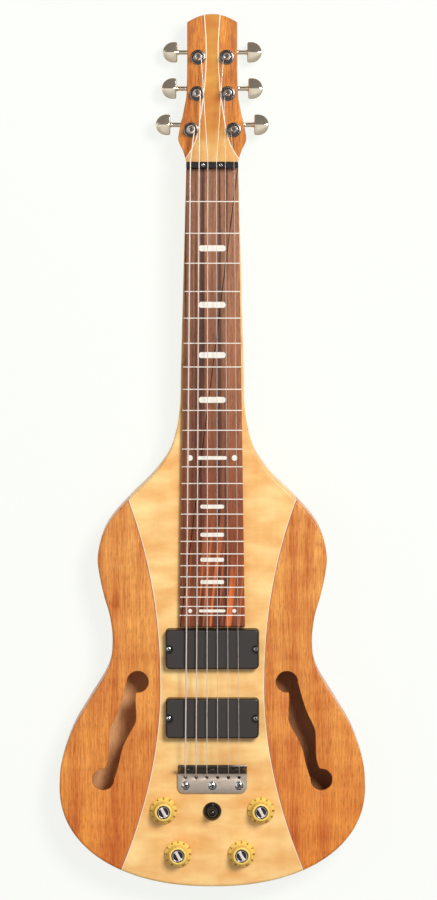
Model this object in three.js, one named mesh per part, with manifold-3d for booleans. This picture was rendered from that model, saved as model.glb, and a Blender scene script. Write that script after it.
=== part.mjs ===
// A neck-through lap steel guitar lying on its back, in millimetres.
// X runs across the strings with the treble side at +X.
// Y runs from the tail to the head and Z rises from the back.
// A station is a distance from the nut's string edge, positive towards the tail.
import * as THREE from "three";
import { mergeVertices } from "three/addons/utils/BufferGeometryUtils.js";
import Module from "manifold-3d";

const wasm = await Module();
wasm.setup();

// Scale, neck and fingerboard
const scaleLength = 571.5;
const fretCount = 24;
const octaveFrets = 12;
const neckWidthAtNut = 49.6;
const neckThickness = 28;
const boardThickness = 6.5;
const boardEndWidth = 62.6;
const boardOverhang = 11.3;
const fretWidth = 0.9;
const fretHeight = 0.3;
const stringSpreadAtNut = 41.6;
const stringSpreadAtBridge = 51.6;
const stringClearance = 9;
const stringGauges = [1.32, 1.07, 0.81, 0.56, 0.43, 0.36];

// Body, with its places measured from the bridge line
const bodyThickness = 45;
const shoulderToBridge = 370;
const shoulderWidth = 60.4;
const upperBoutToBridge = 197.1;
const upperBoutWidth = 220;
const waistToBridge = 116.2;
const waistWidth = 191.6;
const lowerBoutFromBridge = 23.2;
const lowerBoutWidth = 294.2;
const tailFromLowerBout = 97.6;
const tailFullness = 2.2;
const rimRound = 2.5;
const heelToShoulder = 34;
const heelLength = 76;
const voluteLength = 30;

// Hollow wings
const wingTopThickness = 6;
const wingBackThickness = 8;
const rimWall = 12;
const seamWall = 9;
const accentWidth = 1.6;
const coreWallBesidePickup = 4.35;
const seamWaistToBridge = 70.9;
const seamHeadReach = 181;
const seamHeadFlare = 30.1;
const seamHeadPower = 2.2;
const seamTailReach = 174.7;
const seamTailFlare = 37.7;
const seamTailPower = 1.9;
const soundHoleLength = 115.8;
const soundHoleEyeRadius = 10.5;
const soundHoleToBridge = 30.4;

// Headstock
const headLength = 146;
const headWidth = 65;
const headThickness = 15;
const headTiltDegrees = 5;
const headTipRise = 8;

// Nut and bridge
const nutLength = 6;
const bridgeWidth = 66.5;
const bridgeThickness = 2.5;
const bridgeLength = 29.8;
const bridgeLean = 57;
const bridgeRearRadius = 6.5;
const bridgeFrontRadius = 3;
const stringHoleFromBridge = 14.4;
const stringHoleRadius = 1.5;
const bridgeScrewFromBridge = 22.4;
const bridgeScrewSpread = 51.6;
const bridgeScrewHeadRadius = 4.4;
const bridgeScrewHeadHeight = 2.2;
const bridgeScrewLength = 16;
const ballEndRadius = 2;
const ballEndLength = 4;
const ballSeat = 10;

// Pickups
const pickupLength = 88.9;
const pickupWidth = 38.1;
const pickupHeight = 20;
const pickupAboveBody = 10.5;
const pickupCornerRadius = 3.5;
const pickupEdgeRound = 1.2;
const pickupTravelDown = 3;
const pickupGapToBoard = 2.2;
const bridgePickupToBridge = 43.35;
const pickupScrewSpread = 83.4;
const pickupScrewRadius = 1.4;
const pickupScrewHeadRadius = 2.6;
const pickupScrewHeadHeight = 1.8;
const pickupScrewLength = 32;
const pickupRecessRadius = 3.8;
const pickupRecessDepth = 4.5;

// Knobs, potentiometers and selector
const knobRadius = 13;
const knobHeight = 15;
const knobAboveBody = 1;
const knobCrownRadius = 8.8;
const knobSkirtHeight = 3.4;
const knobInsertRadius = 6.2;
const knobSocketRadius = 7.6;
const knobSocketDepth = 5;
const knobTaper = 0.8;
const upperKnobFromBridge = 46.5;
const upperKnobSpread = 93.8;
const lowerKnobFromBridge = 88.7;
const lowerBassKnobFromAxis = 33;
const lowerTrebleKnobFromAxis = 28.2;
const controlTopThickness = 7;
const potRadius = 8.5;
const potHeight = 8;
const potBushingRadius = 4.7;
const potShaftRadius = 3.1;
const potBushingAboveBody = 4;
const selectorFromBridge = 47.4;
const selectorNutRadius = 8.85;
const selectorNutHeight = 4.5;
const selectorBushingRadius = 5.5;
const selectorBodyWidth = 15;
const selectorBodyLength = 23;
const selectorBodyHeight = 19;
const leverBallRadius = 2.3;
const leverShankRadius = 1.4;
const leverTipRadius = 4;
const leverTipLength = 10.5;
const leverHeight = 17.5;
const leverPivotDepth = 3;
const leverTailLength = 3;
const leverSwing = 13;

// Control cavity, its cover and the output jack
const cavityWall = 1.6;
const coverThickness = 2;
const coverLedge = 4.5;
const coverInset = 0.2;
const cavityCornerRadius = 12;
const jackRadius = 5.5;
const jackBoreRadius = 3.4;
const jackLength = 34;
const jackRecessRadius = 11;
const jackRecessDepth = 9;
const jackFlangeRadius = 8;
const jackFlangeThickness = 2.4;

// Tuners, in the frame of the tilted headstock face
const postRadius = 3;
const postHeight = 17;
const postChamfer = 0.7;
const windingHalfHeight = 1.5;
const postStringHeight = 7.5;
const sleeveRadius = 4.6;
const washerRadius = 7.2;
const washerThickness = 1.6;
const bushingRadius = 5.4;
const bushingHeight = 4.6;
const housingDepth = 11;
const housingInboard = 8;
const housingOutboard = 9.5;
const housingNutward = 8;
const housingTipward = 6;
const housingCorner = 2.4;
const gearTeeth = 12;
const gearPitchRadius = 4.2;
const gearThickness = 3;
const wormPitchRadius = 2;
const toothAddendum = 0.55;
const toothDedendum = 0.75;
const toothBacklash = 0.16;
const toothFlankDegrees = 20;
const wormTurns = 2.5;
const threadSink = 0.3;
const gearDepth = 5.2;
const pinRadius = 1.6;
const pinLength = 2.2;
const buttonFromPost = 19.8;
const buttonLength = 14;
const buttonHeight = 20;
const buttonThickness = 8;
const buttonEdgeThickness = 4.4;
const buttonShankRadius = 1.9;
const buttonCollarRadius = 2.7;
const buttonCollarLength = 1.5;

// Clearances and overruns
const seatGap = 0.3;
const runningGap = 0.3;
const overrun = 5;
const pickupGap = 0.4;
const joinOverlap = 1;

// Shares of the sizes that an outline follows
const shoulderShares = [
  [0.133, 0.006],
  [0.266, 0.043],
  [0.399, 0.127],
  [0.533, 0.326],
  [0.666, 0.614],
  [0.799, 0.861],
  [0.897, 0.959],
  [1, 1],
];
const upperBoutShares = [
  [0.19, 0.11],
  [0.43, 0.4],
  [0.71, 0.84],
  [1, 1],
];
const lowerBoutShares = [
  [0.17, 0.07],
  [0.42, 0.46],
  [0.58, 0.715],
  [0.75, 0.895],
  [0.87, 0.977],
  [1, 1],
];
// Headstock edge: share of the head's length from the nut, share of half its width
const headEdgeShares = [
  [0.062, 0.79],
  [0.116, 0.868],
  [0.148, 0.935],
  [0.185, 0.985],
  [0.214, 1],
  [0.27, 0.965],
  [0.33, 0.895],
  [0.39, 0.83],
  [0.46, 0.763],
  [0.56, 0.742],
  [0.7, 0.735],
];
const headCornerShare = 0.735;
// Maple wedge in the headstock: share of the head's length, share of half the neck's width
const wedgeShares = [
  [0.02, 1.3],
  [0.061, 1.004],
  [0.171, 0.633],
  [0.284, 0.48],
  [0.425, 0.351],
  [0.566, 0.258],
  [0.776, 0.21],
  [1, 0.29],
  [1.05, 0.32],
];
// Sound hole stem, as shares of its length: across from its centre, along towards the tail
const stemOuterShares = [
  [-0.05, -0.409],
  [-0.017, -0.286],
  [0.022, -0.165],
  [0.072, -0.058],
  [0.09, -0.01],
  [0.097, 0.05],
  [0.1, 0.163],
  [0.108, 0.25],
  [0.13, 0.31],
  [0.16, 0.33],
];
const stemInnerShares = [
  [0.07, 0.44],
  [0.054, 0.395],
  [0.017, 0.275],
  [-0.011, 0.155],
  [-0.052, 0.06],
  [-0.098, -0.022],
  [-0.125, -0.085],
  [-0.127, -0.15],
  [-0.121, -0.269],
  [-0.13, -0.35],
];
const soundHoleAcrossShare = 0.424;
const upperEyeShares = [-0.141, -0.409];
const lowerEyeShares = [0.147, 0.408];
const firstTunerShare = 0.2452;
const tunerSpacingShare = 0.23664;
const postAcrossShares = [0.625, 0.449, 0.418];
const halfShare = 0.5;
const screwDomeShare = 0.55;
const skirtEdgeShare = 0.3;
const skirtSlopeShare = 0.35;
const ringCrownShare = 0.35;
const tipFootShare = 0.8;
const tipBellyShare = 0.35;
const tipShoulderShare = 0.92;
const tipRoundShare = 0.5;

// Steps of the curves and sides of the round pieces
const outlineSteps = 34;
const tailSteps = 12;
const seamSteps = 18;
const curveSteps = 7;
const headSteps = 14;
const archSteps = 4;
const wedgeSteps = 10;
const cornerSteps = 2;
const roundSteps = 1;
const roundSides = 12;
const knobSides = 12;
const tunerSides = 8;
const pocketSides = 10;
const eyeSides = 12;
const smallSides = 6;
const stringSides = 6;
const ballSteps = 4;
const buttonSteps = 4;
const threadSteps = 5;
const mergeTolerance = 1e-4;

// Places worked out from the sizes
const headTilt = THREE.MathUtils.degToRad(headTiltDegrees);
const shoulderStation = scaleLength - shoulderToBridge;
const upperBoutStation = scaleLength - upperBoutToBridge;
const waistStation = scaleLength - waistToBridge;
const lowerBoutStation = scaleLength + lowerBoutFromBridge;
const tailStation = lowerBoutStation + tailFromLowerBout;
const middleStation = (tailStation - headLength) / 2;
const seamWaistStation = scaleLength - seamWaistToBridge;
const seamWaistHalf = pickupLength / 2 + pickupGap + coreWallBesidePickup + accentWidth;
const lastFretStation = fretStation(fretCount);
const boardEndStation = lastFretStation + boardOverhang;
const neckPickupStation = boardEndStation + pickupGapToBoard + pickupWidth / 2;
const bridgePickupStation = scaleLength - bridgePickupToBridge;
const boardTop = bodyThickness + boardThickness;
const stringTop = boardTop + stringClearance + stringGauges[0] / 2;
const flangeTop = stringTop - stringGauges[0] - seatGap;
const flangeTopLength = bridgeThickness / Math.sin(THREE.MathUtils.degToRad(bridgeLean));
const nutTop = stringTop - stringGauges[stringGauges.length - 1] / 2;
const plateTop = bodyThickness + bridgeThickness;
const neckBack = bodyThickness - neckThickness;
const headBackAtNut = bodyThickness - headThickness;
const cavityCeiling = bodyThickness - controlTopThickness;
const wingFloor = wingBackThickness;
const wingTopBottom = bodyThickness - wingTopThickness;
const selectorStation = scaleLength + selectorFromBridge;
const upperKnobStation = scaleLength + upperKnobFromBridge;
const lowerKnobStation = scaleLength + lowerKnobFromBridge;
const stringHoleStation = scaleLength + stringHoleFromBridge;
const bridgeScrewStation = scaleLength + bridgeScrewFromBridge;
const heelStart = shoulderStation + heelToShoulder;
const firstTunerFromNut = headLength * firstTunerShare;
const tunerSpacing = headLength * tunerSpacingShare;

function fretStation(fret) {
  return scaleLength * (1 - 2 ** (-fret / octaveFrets));
}

function yAt(station) {
  return middleStation - station;
}

function mix(from, to, share) {
  return from + (to - from) * share;
}

// Straight taper of the neck, from the nut to the shoulders
function neckHalfAt(station) {
  return mix(neckWidthAtNut, shoulderWidth, Math.max(station, 0) / shoulderStation) / 2;
}

// Half width of the maple between the wings, accent strips included: a waist that flares by a power law
function seamHalfAt(station) {
  const away = station - seamWaistStation;
  if (away < 0) return seamWaistHalf + seamHeadFlare * (-away / seamHeadReach) ** seamHeadPower;
  return seamWaistHalf + seamTailFlare * (away / seamTailReach) ** seamTailPower;
}

// Smooth curve through [station, half width] pairs
function splinePairs(pairs, count) {
  const path = new THREE.CatmullRomCurve3(
    pairs.map(([station, half]) => new THREE.Vector3(station, half, 0)),
    false,
    "centripetal",
  );
  return path.getPoints(count).map((point) => [point.x, point.y]);
}

// One stretch of outline between two named places and two named half widths
function stretchPairs(shares, fromStation, toStation, fromHalf, toHalf) {
  return shares.map(([along, out]) => [mix(fromStation, toStation, along), mix(fromHalf, toHalf, out)]);
}

// Flank of the neck and body from the nut to the tail, as [station, half width]
function flankPairs() {
  const upper = upperBoutWidth / 2;
  const waist = waistWidth / 2;
  const lower = lowerBoutWidth / 2;
  const straight = [-nutLength, 0, shoulderStation / 3, (shoulderStation * 2) / 3];
  const curve = splinePairs(
    [
      [straight[3], neckHalfAt(straight[3])],
      [shoulderStation, shoulderWidth / 2],
      ...stretchPairs(shoulderShares, shoulderStation, upperBoutStation, shoulderWidth / 2, upper),
      ...stretchPairs(upperBoutShares, upperBoutStation, waistStation, upper, waist),
      ...stretchPairs(lowerBoutShares, waistStation, lowerBoutStation, waist, lower),
    ],
    outlineSteps,
  );
  const tail = [];
  for (let i = 1; i < tailSteps; i++) {
    const turn = (i / tailSteps) * (Math.PI / 2);
    tail.push([
      lowerBoutStation + tailFromLowerBout * Math.sin(turn) ** (2 / tailFullness),
      lower * Math.cos(turn) ** (2 / tailFullness),
    ]);
  }
  const neck = straight.slice(0, 3).map((station) => [station, neckHalfAt(station)]);
  return [...neck, ...curve, ...tail];
}

// Offset of the flank towards the middle of the wood, by the rim's wall
function insetFlank(pairs, wall) {
  const inset = [];
  for (let i = 1; i < pairs.length - 1; i++) {
    const along = pairs[i + 1][0] - pairs[i - 1][0];
    const out = pairs[i + 1][1] - pairs[i - 1][1];
    const size = Math.hypot(along, out);
    inset.push([pairs[i][0] + (wall * out) / size, pairs[i][1] - (wall * along) / size]);
  }
  return inset;
}

// Right and left flank as one closed outline in X and Y
function mirroredOutline(pairs) {
  const right = pairs.map(([station, half]) => [half, yAt(station)]);
  const left = pairs
    .filter(([, half]) => half > 0)
    .map(([station, half]) => [-half, yAt(station)])
    .reverse();
  return [...right, ...left];
}

// Corners of a polygon turned into arcs of the given radii
function roundCorners(corners, radii) {
  const count = corners.length;
  return corners.flatMap((corner, i) => {
    const tip = new THREE.Vector2(...corner);
    const before = new THREE.Vector2(...corners[(i + count - 1) % count]).sub(tip).normalize();
    const after = new THREE.Vector2(...corners[(i + 1) % count]).sub(tip).normalize();
    const half = Math.acos(before.dot(after)) / 2;
    const reach = radii[i] / Math.tan(half);
    const centre = before.clone().add(after).setLength(radii[i] / Math.sin(half)).add(tip);
    const first = before.clone().multiplyScalar(reach).add(tip).sub(centre).angle();
    const last = after.clone().multiplyScalar(reach).add(tip).sub(centre).angle();
    let sweep = last - first;
    if (sweep > Math.PI) sweep -= 2 * Math.PI;
    if (sweep < -Math.PI) sweep += 2 * Math.PI;
    return Array.from({ length: cornerSteps + 1 }, (_, k) => {
      const angle = first + (sweep * k) / cornerSteps;
      return [centre.x + radii[i] * Math.cos(angle), centre.y + radii[i] * Math.sin(angle)];
    });
  });
}

function rectangle(halfX, halfY) {
  return [
    [halfX, -halfY],
    [halfX, halfY],
    [-halfX, halfY],
    [-halfX, -halfY],
  ];
}

function roundedRectangle(halfX, halfY, radius) {
  return roundCorners(rectangle(halfX, halfY), [radius, radius, radius, radius]);
}

function shapeOf(points) {
  return new THREE.Shape(points.map(([x, y]) => new THREE.Vector2(x, y)));
}

// Upright prism over an outline in X and Y
function prism(points, low, high) {
  const geometry = new THREE.ExtrudeGeometry(shapeOf(points), { depth: high - low, bevelEnabled: false });
  return geometry.translate(0, 0, low);
}

// Upright prism whose top and bottom edges are rounded inwards
function roundedPrism(points, low, high, radius) {
  const geometry = new THREE.ExtrudeGeometry(shapeOf(points), {
    depth: high - low - 2 * radius,
    bevelThickness: radius,
    bevelSize: radius,
    bevelOffset: -radius,
    bevelSegments: roundSteps,
  });
  return geometry.translate(0, 0, low + radius);
}

// Prism along X over an outline of [station, height] pairs
function crossPrism(pairs, fromX, toX) {
  const geometry = prism(
    pairs.map(([station, height]) => [yAt(station), height]),
    fromX,
    toX,
  );
  const turn = new THREE.Matrix4().makeBasis(
    new THREE.Vector3(0, 1, 0),
    new THREE.Vector3(0, 0, 1),
    new THREE.Vector3(1, 0, 0),
  );
  return geometry.applyMatrix4(turn);
}

// Revolved body about Z through [radius, height] pairs
function revolved(pairs, sides = roundSides) {
  const profile = pairs.map(([radius, height]) => new THREE.Vector2(radius, height));
  return new THREE.LatheGeometry(profile, sides).rotateX(Math.PI / 2);
}

function rod(radius, low, high, sides = roundSides) {
  return revolved(
    [
      [0, low],
      [radius, low],
      [radius, high],
      [0, high],
    ],
    sides,
  );
}

// Closed solid from a geometry, with its faces turned outwards
function solidOf(geometry) {
  const bare = geometry.index ? geometry.toNonIndexed() : geometry.clone();
  bare.deleteAttribute("normal");
  bare.deleteAttribute("uv");
  const merged = mergeVertices(bare, mergeTolerance);
  const place = merged.attributes.position;
  const corner = [new THREE.Vector3(), new THREE.Vector3(), new THREE.Vector3()];
  const faces = [];
  let volume = 0;
  for (let i = 0; i < merged.index.count; i += 3) {
    const [a, b, c] = [0, 1, 2].map((k) => merged.index.getX(i + k));
    if (a === b || b === c || c === a) continue;
    faces.push(a, b, c);
    [a, b, c].forEach((vertex, k) => corner[k].fromBufferAttribute(place, vertex));
    volume += corner[0].dot(corner[1].cross(corner[2]));
  }
  if (volume < 0) faces.reverse();
  return new wasm.Manifold(
    new wasm.Mesh({ numProp: 3, vertProperties: place.array, triVerts: new Uint32Array(faces) }),
  );
}

function joined(...geometries) {
  return geometries.map(solidOf).reduce((whole, piece) => whole.add(piece));
}

function cutBy(solid, geometries) {
  return geometries.map(solidOf).reduce((whole, piece) => whole.subtract(piece), solid);
}

function common(solid, ...geometries) {
  return geometries.map(solidOf).reduce((whole, piece) => whole.intersect(piece), solid);
}

function geometryOf(solid) {
  const mesh = solid.getMesh();
  const geometry = new THREE.BufferGeometry();
  geometry.setAttribute("position", new THREE.BufferAttribute(mesh.vertProperties, mesh.numProp));
  geometry.setIndex(new THREE.BufferAttribute(mesh.triVerts, 1));
  geometry.computeVertexNormals();
  return geometry;
}

const finishes = {
  maple: { color: 0xf0c084, roughness: 0.35, metalness: 0 },
  mahogany: { color: 0xcd7d40, roughness: 0.4, metalness: 0 },
  accent: { color: 0xb4503c, roughness: 0.4, metalness: 0 },
  rosewood: { color: 0x6a3828, roughness: 0.5, metalness: 0 },
  black: { color: 0x141210, roughness: 0.35, metalness: 0 },
  pickup: { color: 0x2c2926, roughness: 0.55, metalness: 0 },
  amber: { color: 0xf2c04a, roughness: 0.2, metalness: 0 },
  steel: { color: 0xa09888, roughness: 0.25, metalness: 1 },
  chrome: { color: 0xd8d8d8, roughness: 0.1, metalness: 1 },
  wire: { color: 0xc8c0b0, roughness: 0.3, metalness: 1 },
};

const instrument = new THREE.Group();
instrument.name = "lap_steel_guitar";
const head = new THREE.Group();
head.position.set(0, yAt(-nutLength), bodyThickness);
head.rotation.x = -headTilt;
instrument.add(head);
instrument.updateMatrixWorld(true);

function addPiece(name, solid, finish, place = [0, 0, 0], holder = instrument) {
  const mesh = new THREE.Mesh(geometryOf(solid), new THREE.MeshStandardMaterial(finishes[finish]));
  mesh.name = name;
  mesh.position.set(...place);
  holder.add(mesh);
}

// Place on the headstock face: across, along towards the tip, out of the face
function headPlace(across, fromNut, out = 0) {
  return [across, (fromNut - nutLength) / Math.cos(headTilt), out];
}

// The whole neck and body as one slab: its rim is rounded, the neck's edges are square under the fingerboard
const flank = flankPairs();
const neckFlank = flank.filter(([station]) => station < heelStart);
const bodySlab = joined(
  roundedPrism(mirroredOutline([...flank, [tailStation, 0]]), 0, bodyThickness, rimRound),
  prism(mirroredOutline(neckFlank), 0, bodyThickness),
);

// Regions of the plan that the seams part, each as wide as its wood
const seamStart = seamWaistStation - seamHeadReach - overrun;
const seamEnd = tailStation + overrun;
const seamStations = Array.from({ length: seamSteps + 1 }, (_, k) => mix(seamStart, seamEnd, k / seamSteps));

function bandOutline(stations, innerAt, outerAt, side) {
  const inner = stations.map((station) => [side * innerAt(station), yAt(station)]);
  const outer = stations.map((station) => [side * outerAt(station), yAt(station)]).reverse();
  return [...inner, ...outer];
}

function bodyBand(innerAt, outerAt, side, low = -overrun, high = bodyThickness + overrun) {
  return prism(bandOutline(seamStations, innerAt, outerAt, side), low, high);
}

const mapleHalfAt = (station) => seamHalfAt(station) - accentWidth;
const beyondBody = () => lowerBoutWidth;
const coreStations = [-nutLength - overrun, ...seamStations];
const coreRegion = prism(
  bandOutline(
    coreStations,
    (station) => -mapleHalfAt(Math.max(station, seamStart)),
    (station) => mapleHalfAt(Math.max(station, seamStart)),
    1,
  ),
  -overrun,
  bodyThickness + overrun,
);

// Wood taken away behind the neck: a volute at the head and a heel at the shoulders, both cosine curves
function neckRelief() {
  const back = [];
  for (let k = 0; k <= curveSteps; k++) {
    const rise = (1 - Math.cos((Math.PI * k) / curveSteps)) / 2;
    back.push([-nutLength + (voluteLength * k) / curveSteps, mix(headBackAtNut, neckBack, rise)]);
  }
  for (let k = 0; k <= curveSteps; k++) {
    const rise = (1 - Math.cos((Math.PI * k) / curveSteps)) / 2;
    back.push([heelStart + (heelLength * k) / curveSteps, mix(neckBack, 0, rise)]);
  }
  const ends = [
    [heelStart + heelLength, -overrun],
    [-nutLength - overrun, -overrun],
    [-nutLength - overrun, headBackAtNut],
  ];
  return crossPrism([...back, ...ends], -lowerBoutWidth, lowerBoutWidth);
}

// Headstock edge from the nut to the tip, with a low arch across the tip
function headPairs() {
  const half = headWidth / 2;
  const corner = headCornerShare * half;
  const side = splinePairs(
    [
      [-nutLength, neckWidthAtNut / 2],
      ...headEdgeShares.map(([along, out]) => [-along * headLength, out * half]),
      [headTipRise - headLength, corner],
    ],
    headSteps,
  );
  const arch = [];
  for (let k = 1; k <= archSteps; k++) {
    const out = 1 - k / archSteps;
    arch.push([headTipRise * out * out - headLength, corner * out]);
  }
  return [[joinOverlap - nutLength, neckWidthAtNut / 2], ...side, ...arch];
}

const wedgePath = splinePairs(
  wedgeShares.map(([along, out]) => [-along * headLength, (out * neckWidthAtNut) / 2]),
  wedgeSteps,
);

function headBand(innerOffset, outerOffset, side) {
  const inner = wedgePath.map(([station, half]) => [side * innerOffset(half), yAt(station)]);
  const outer = wedgePath.map(([station, half]) => [side * outerOffset(half), yAt(station)]).reverse();
  return prism([...inner, ...outer], -overrun, bodyThickness + overrun);
}

function headFall(station) {
  return Math.tan(headTilt) * (-nutLength - station);
}

function headSlab() {
  const beyondTip = -headLength - overrun;
  const profile = [
    [joinOverlap - nutLength, headBackAtNut],
    [joinOverlap - nutLength, bodyThickness],
    [-nutLength, bodyThickness],
    [beyondTip, bodyThickness - headFall(beyondTip)],
    [beyondTip, headBackAtNut - headFall(beyondTip)],
    [-nutLength, headBackAtNut],
  ];
  return common(
    solidOf(prism(mirroredOutline(headPairs()), -overrun, bodyThickness + overrun)),
    crossPrism(profile, -headWidth, headWidth),
  );
}

// Tuners: 0 to 2 on the bass side and 3 to 5 on the treble side, in the order of the strings
const tuners = stringGauges.map((_, i) => {
  const side = i < stringGauges.length / 2 ? -1 : 1;
  const row = side < 0 ? i : stringGauges.length - 1 - i;
  const fromNut = firstTunerFromNut + tunerSpacing * row;
  return { side, row, place: headPlace((side * postAcrossShares[row] * headWidth) / 2, fromNut) };
});
const headBack = -headThickness * Math.cos(headTilt);

const tunerHoles = tuners.map(({ place }) =>
  rod(sleeveRadius + seatGap, headBack - overrun, overrun, tunerSides)
    .translate(...place)
    .applyMatrix4(head.matrixWorld),
);

// Pickups and what is cut for them
const pickupTop = bodyThickness + pickupAboveBody;
const pickupBottom = pickupTop - pickupHeight;
const pickupFloor = pickupBottom - pickupTravelDown - seatGap;
const pickupScrewSeat = pickupTop - pickupRecessDepth;
const pickupPlaces = { neck: neckPickupStation, bridge: bridgePickupStation };

function pickupCuts(station) {
  const pocket = prism(
    roundedRectangle(pickupLength / 2 + pickupGap, pickupWidth / 2 + pickupGap, pickupCornerRadius),
    pickupFloor,
    bodyThickness + overrun,
  ).translate(0, yAt(station), 0);
  const holeEnd = pickupScrewSeat - pickupScrewLength - pickupTravelDown - seatGap;
  const holes = [-1, 1].map((side) =>
    rod(pickupScrewRadius + runningGap, holeEnd, bodyThickness, smallSides).translate(
      (side * pickupScrewSpread) / 2,
      yAt(station),
      0,
    ),
  );
  return [pocket, ...holes];
}

// Controls: knobs with their potentiometers, in a cavity routed from the back
const knobs = [
  { name: "bass_upper", x: -upperKnobSpread / 2, station: upperKnobStation },
  { name: "treble_upper", x: upperKnobSpread / 2, station: upperKnobStation },
  { name: "bass_lower", x: -lowerBassKnobFromAxis, station: lowerKnobStation },
  { name: "treble_lower", x: lowerTrebleKnobFromAxis, station: lowerKnobStation },
];
const potReach = potRadius + cavityWall;
const selectorReach = selectorBodyLength / 2 + cavityWall;
const cavityHead = Math.min(upperKnobStation - potReach, selectorStation - selectorReach);
const cavityTail = lowerKnobStation + potReach;
const cavityUpperHalf = upperKnobSpread / 2 + potReach;
const cavityLowerHalf = Math.max(lowerBassKnobFromAxis, lowerTrebleKnobFromAxis) + potReach;

function cavityOutline(grow) {
  const corners = [
    [cavityUpperHalf + grow, yAt(cavityHead - grow)],
    [-cavityUpperHalf - grow, yAt(cavityHead - grow)],
    [-cavityUpperHalf - grow, yAt(upperKnobStation + potRadius)],
    [-cavityLowerHalf - grow, yAt(cavityTail + grow)],
    [cavityLowerHalf + grow, yAt(cavityTail + grow)],
    [cavityUpperHalf + grow, yAt(upperKnobStation + potRadius)],
  ];
  return roundCorners(
    corners,
    corners.map(() => cavityCornerRadius),
  );
}

// Rod along Y from one station to another
function lengthwiseRod(radius, fromStation, toStation, height, sides = roundSides) {
  return rod(radius, fromStation, toStation, sides).rotateX(Math.PI / 2).translate(0, middleStation, height);
}

const jackHeight = bodyThickness / 2;
const jackFloor = tailStation - jackRecessDepth;

function controlCuts() {
  const coverTop = coverInset + coverThickness + seatGap;
  return [
    prism(cavityOutline(0), -overrun, cavityCeiling),
    prism(cavityOutline(coverLedge + seatGap), -overrun, coverTop),
    ...knobs.map(({ x, station }) =>
      rod(potBushingRadius + seatGap, 0, bodyThickness + overrun).translate(x, yAt(station), 0),
    ),
    rod(selectorBushingRadius + seatGap, 0, bodyThickness + overrun).translate(0, yAt(selectorStation), 0),
    lengthwiseRod(jackRecessRadius, jackFloor, tailStation + overrun, jackHeight),
    lengthwiseRod(jackRadius + seatGap, cavityTail - overrun, tailStation, jackHeight),
  ];
}

// Strings: even spacing at the nut and at the bridge
const strings = stringGauges.map((gauge, i) => {
  const share = i / (stringGauges.length - 1) - halfShare;
  return { gauge, nutX: share * stringSpreadAtNut, bridgeX: share * stringSpreadAtBridge, tuner: tuners[i] };
});

function stringCuts() {
  return strings.flatMap(({ bridgeX }) => [
    rod(stringHoleRadius, -overrun, bodyThickness + overrun, smallSides).translate(
      bridgeX,
      yAt(stringHoleStation),
      0,
    ),
    rod(ballEndRadius + seatGap, -overrun, ballSeat + seatGap, smallSides).translate(
      bridgeX,
      yAt(stringHoleStation),
      0,
    ),
  ]);
}

const bridgeScrewXs = [-bridgeScrewSpread / 2, 0, bridgeScrewSpread / 2];

function bridgeScrewCuts(gap, low) {
  return bridgeScrewXs.map((x) =>
    rod(pickupScrewRadius + gap, low, plateTop + overrun, smallSides).translate(
      x,
      yAt(bridgeScrewStation),
      0,
    ),
  );
}

function addWood() {
  const wholeHead = headSlab();
  const maple = common(bodySlab, coreRegion);
  const wedge = common(
    wholeHead,
    headBand(
      (half) => -half,
      (half) => half,
      1,
    ),
  );
  const core = cutBy(cutBy(maple, [neckRelief()]).add(wedge), [
    ...tunerHoles,
    ...pickupCuts(neckPickupStation),
    ...pickupCuts(bridgePickupStation),
    ...controlCuts(),
    ...stringCuts(),
    ...bridgeScrewCuts(seatGap, plateTop - bridgeScrewLength - seatGap),
  ]);
  addPiece("core", core, "maple");

  for (const [side, word] of [
    [-1, "bass"],
    [1, "treble"],
  ]) {
    addPiece(`body_accent_${word}`, common(bodySlab, bodyBand(mapleHalfAt, seamHalfAt, side)), "accent");
    const frameBand = bodyBand(seamHalfAt, beyondBody, side, -overrun, wingTopBottom);
    const topBand = bodyBand(seamHalfAt, beyondBody, side, wingTopBottom);
    const frame = common(bodySlab, frameBand).subtract(chamber(side));
    addPiece(`wing_frame_${word}`, frame, "mahogany");
    addPiece(`wing_top_${word}`, common(bodySlab, topBand).subtract(soundHole(side)), "mahogany");

    const past = (half) => half + accentWidth;
    const accent = common(
      wholeHead,
      headBand((half) => half, past, side),
    );
    addPiece(`head_accent_${word}`, cutBy(accent, tunerHoles), "accent");
    const ear = common(wholeHead, headBand(past, beyondBody, side));
    addPiece(`head_ear_${word}`, cutBy(ear, tunerHoles), "mahogany");
  }
}

// Hollow of a wing: the flank moved in by the rim, and the seam moved out by its wall
function chamber(side) {
  const everySecond = flank.filter((_, i) => i % 2 === 0);
  const rim = insetFlank(everySecond, rimWall).filter(([station]) => station > heelStart + heelLength / 2);
  const outline = [
    ...rim.map(([station, half]) => [side * half, yAt(station)]),
    [0, yAt(tailStation - rimWall)],
    [0, yAt(heelStart)],
  ];
  const inner = (station) => seamHalfAt(station) + seamWall;
  return common(
    solidOf(prism(outline, wingFloor, bodyThickness)),
    bodyBand(inner, beyondBody, side),
  );
}

// Sound hole: two round eyes joined by a stem with a notch on either side
function soundHole(side) {
  const station = scaleLength - soundHoleToBridge;
  const outer = outlineHalfAt(station);
  const across = mix(seamHalfAt(station), outer, soundHoleAcrossShare);
  const place = ([out, along]) => [
    side * (across + out * soundHoleLength),
    yAt(station + along * soundHoleLength),
  ];
  const low = wingTopBottom - overrun;
  const high = bodyThickness + overrun;
  const eyes = [upperEyeShares, lowerEyeShares].map((shares) =>
    rod(soundHoleEyeRadius, low, high, eyeSides).translate(...place(shares), 0),
  );
  return joined(prism([...stemOuterShares, ...stemInnerShares].map(place), low, high), ...eyes);
}

function outlineHalfAt(station) {
  const after = flank.findIndex(([place]) => place >= station);
  const [fromStation, fromHalf] = flank[after - 1];
  const [toStation, toHalf] = flank[after];
  return mix(fromHalf, toHalf, (station - fromStation) / (toStation - fromStation));
}

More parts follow.
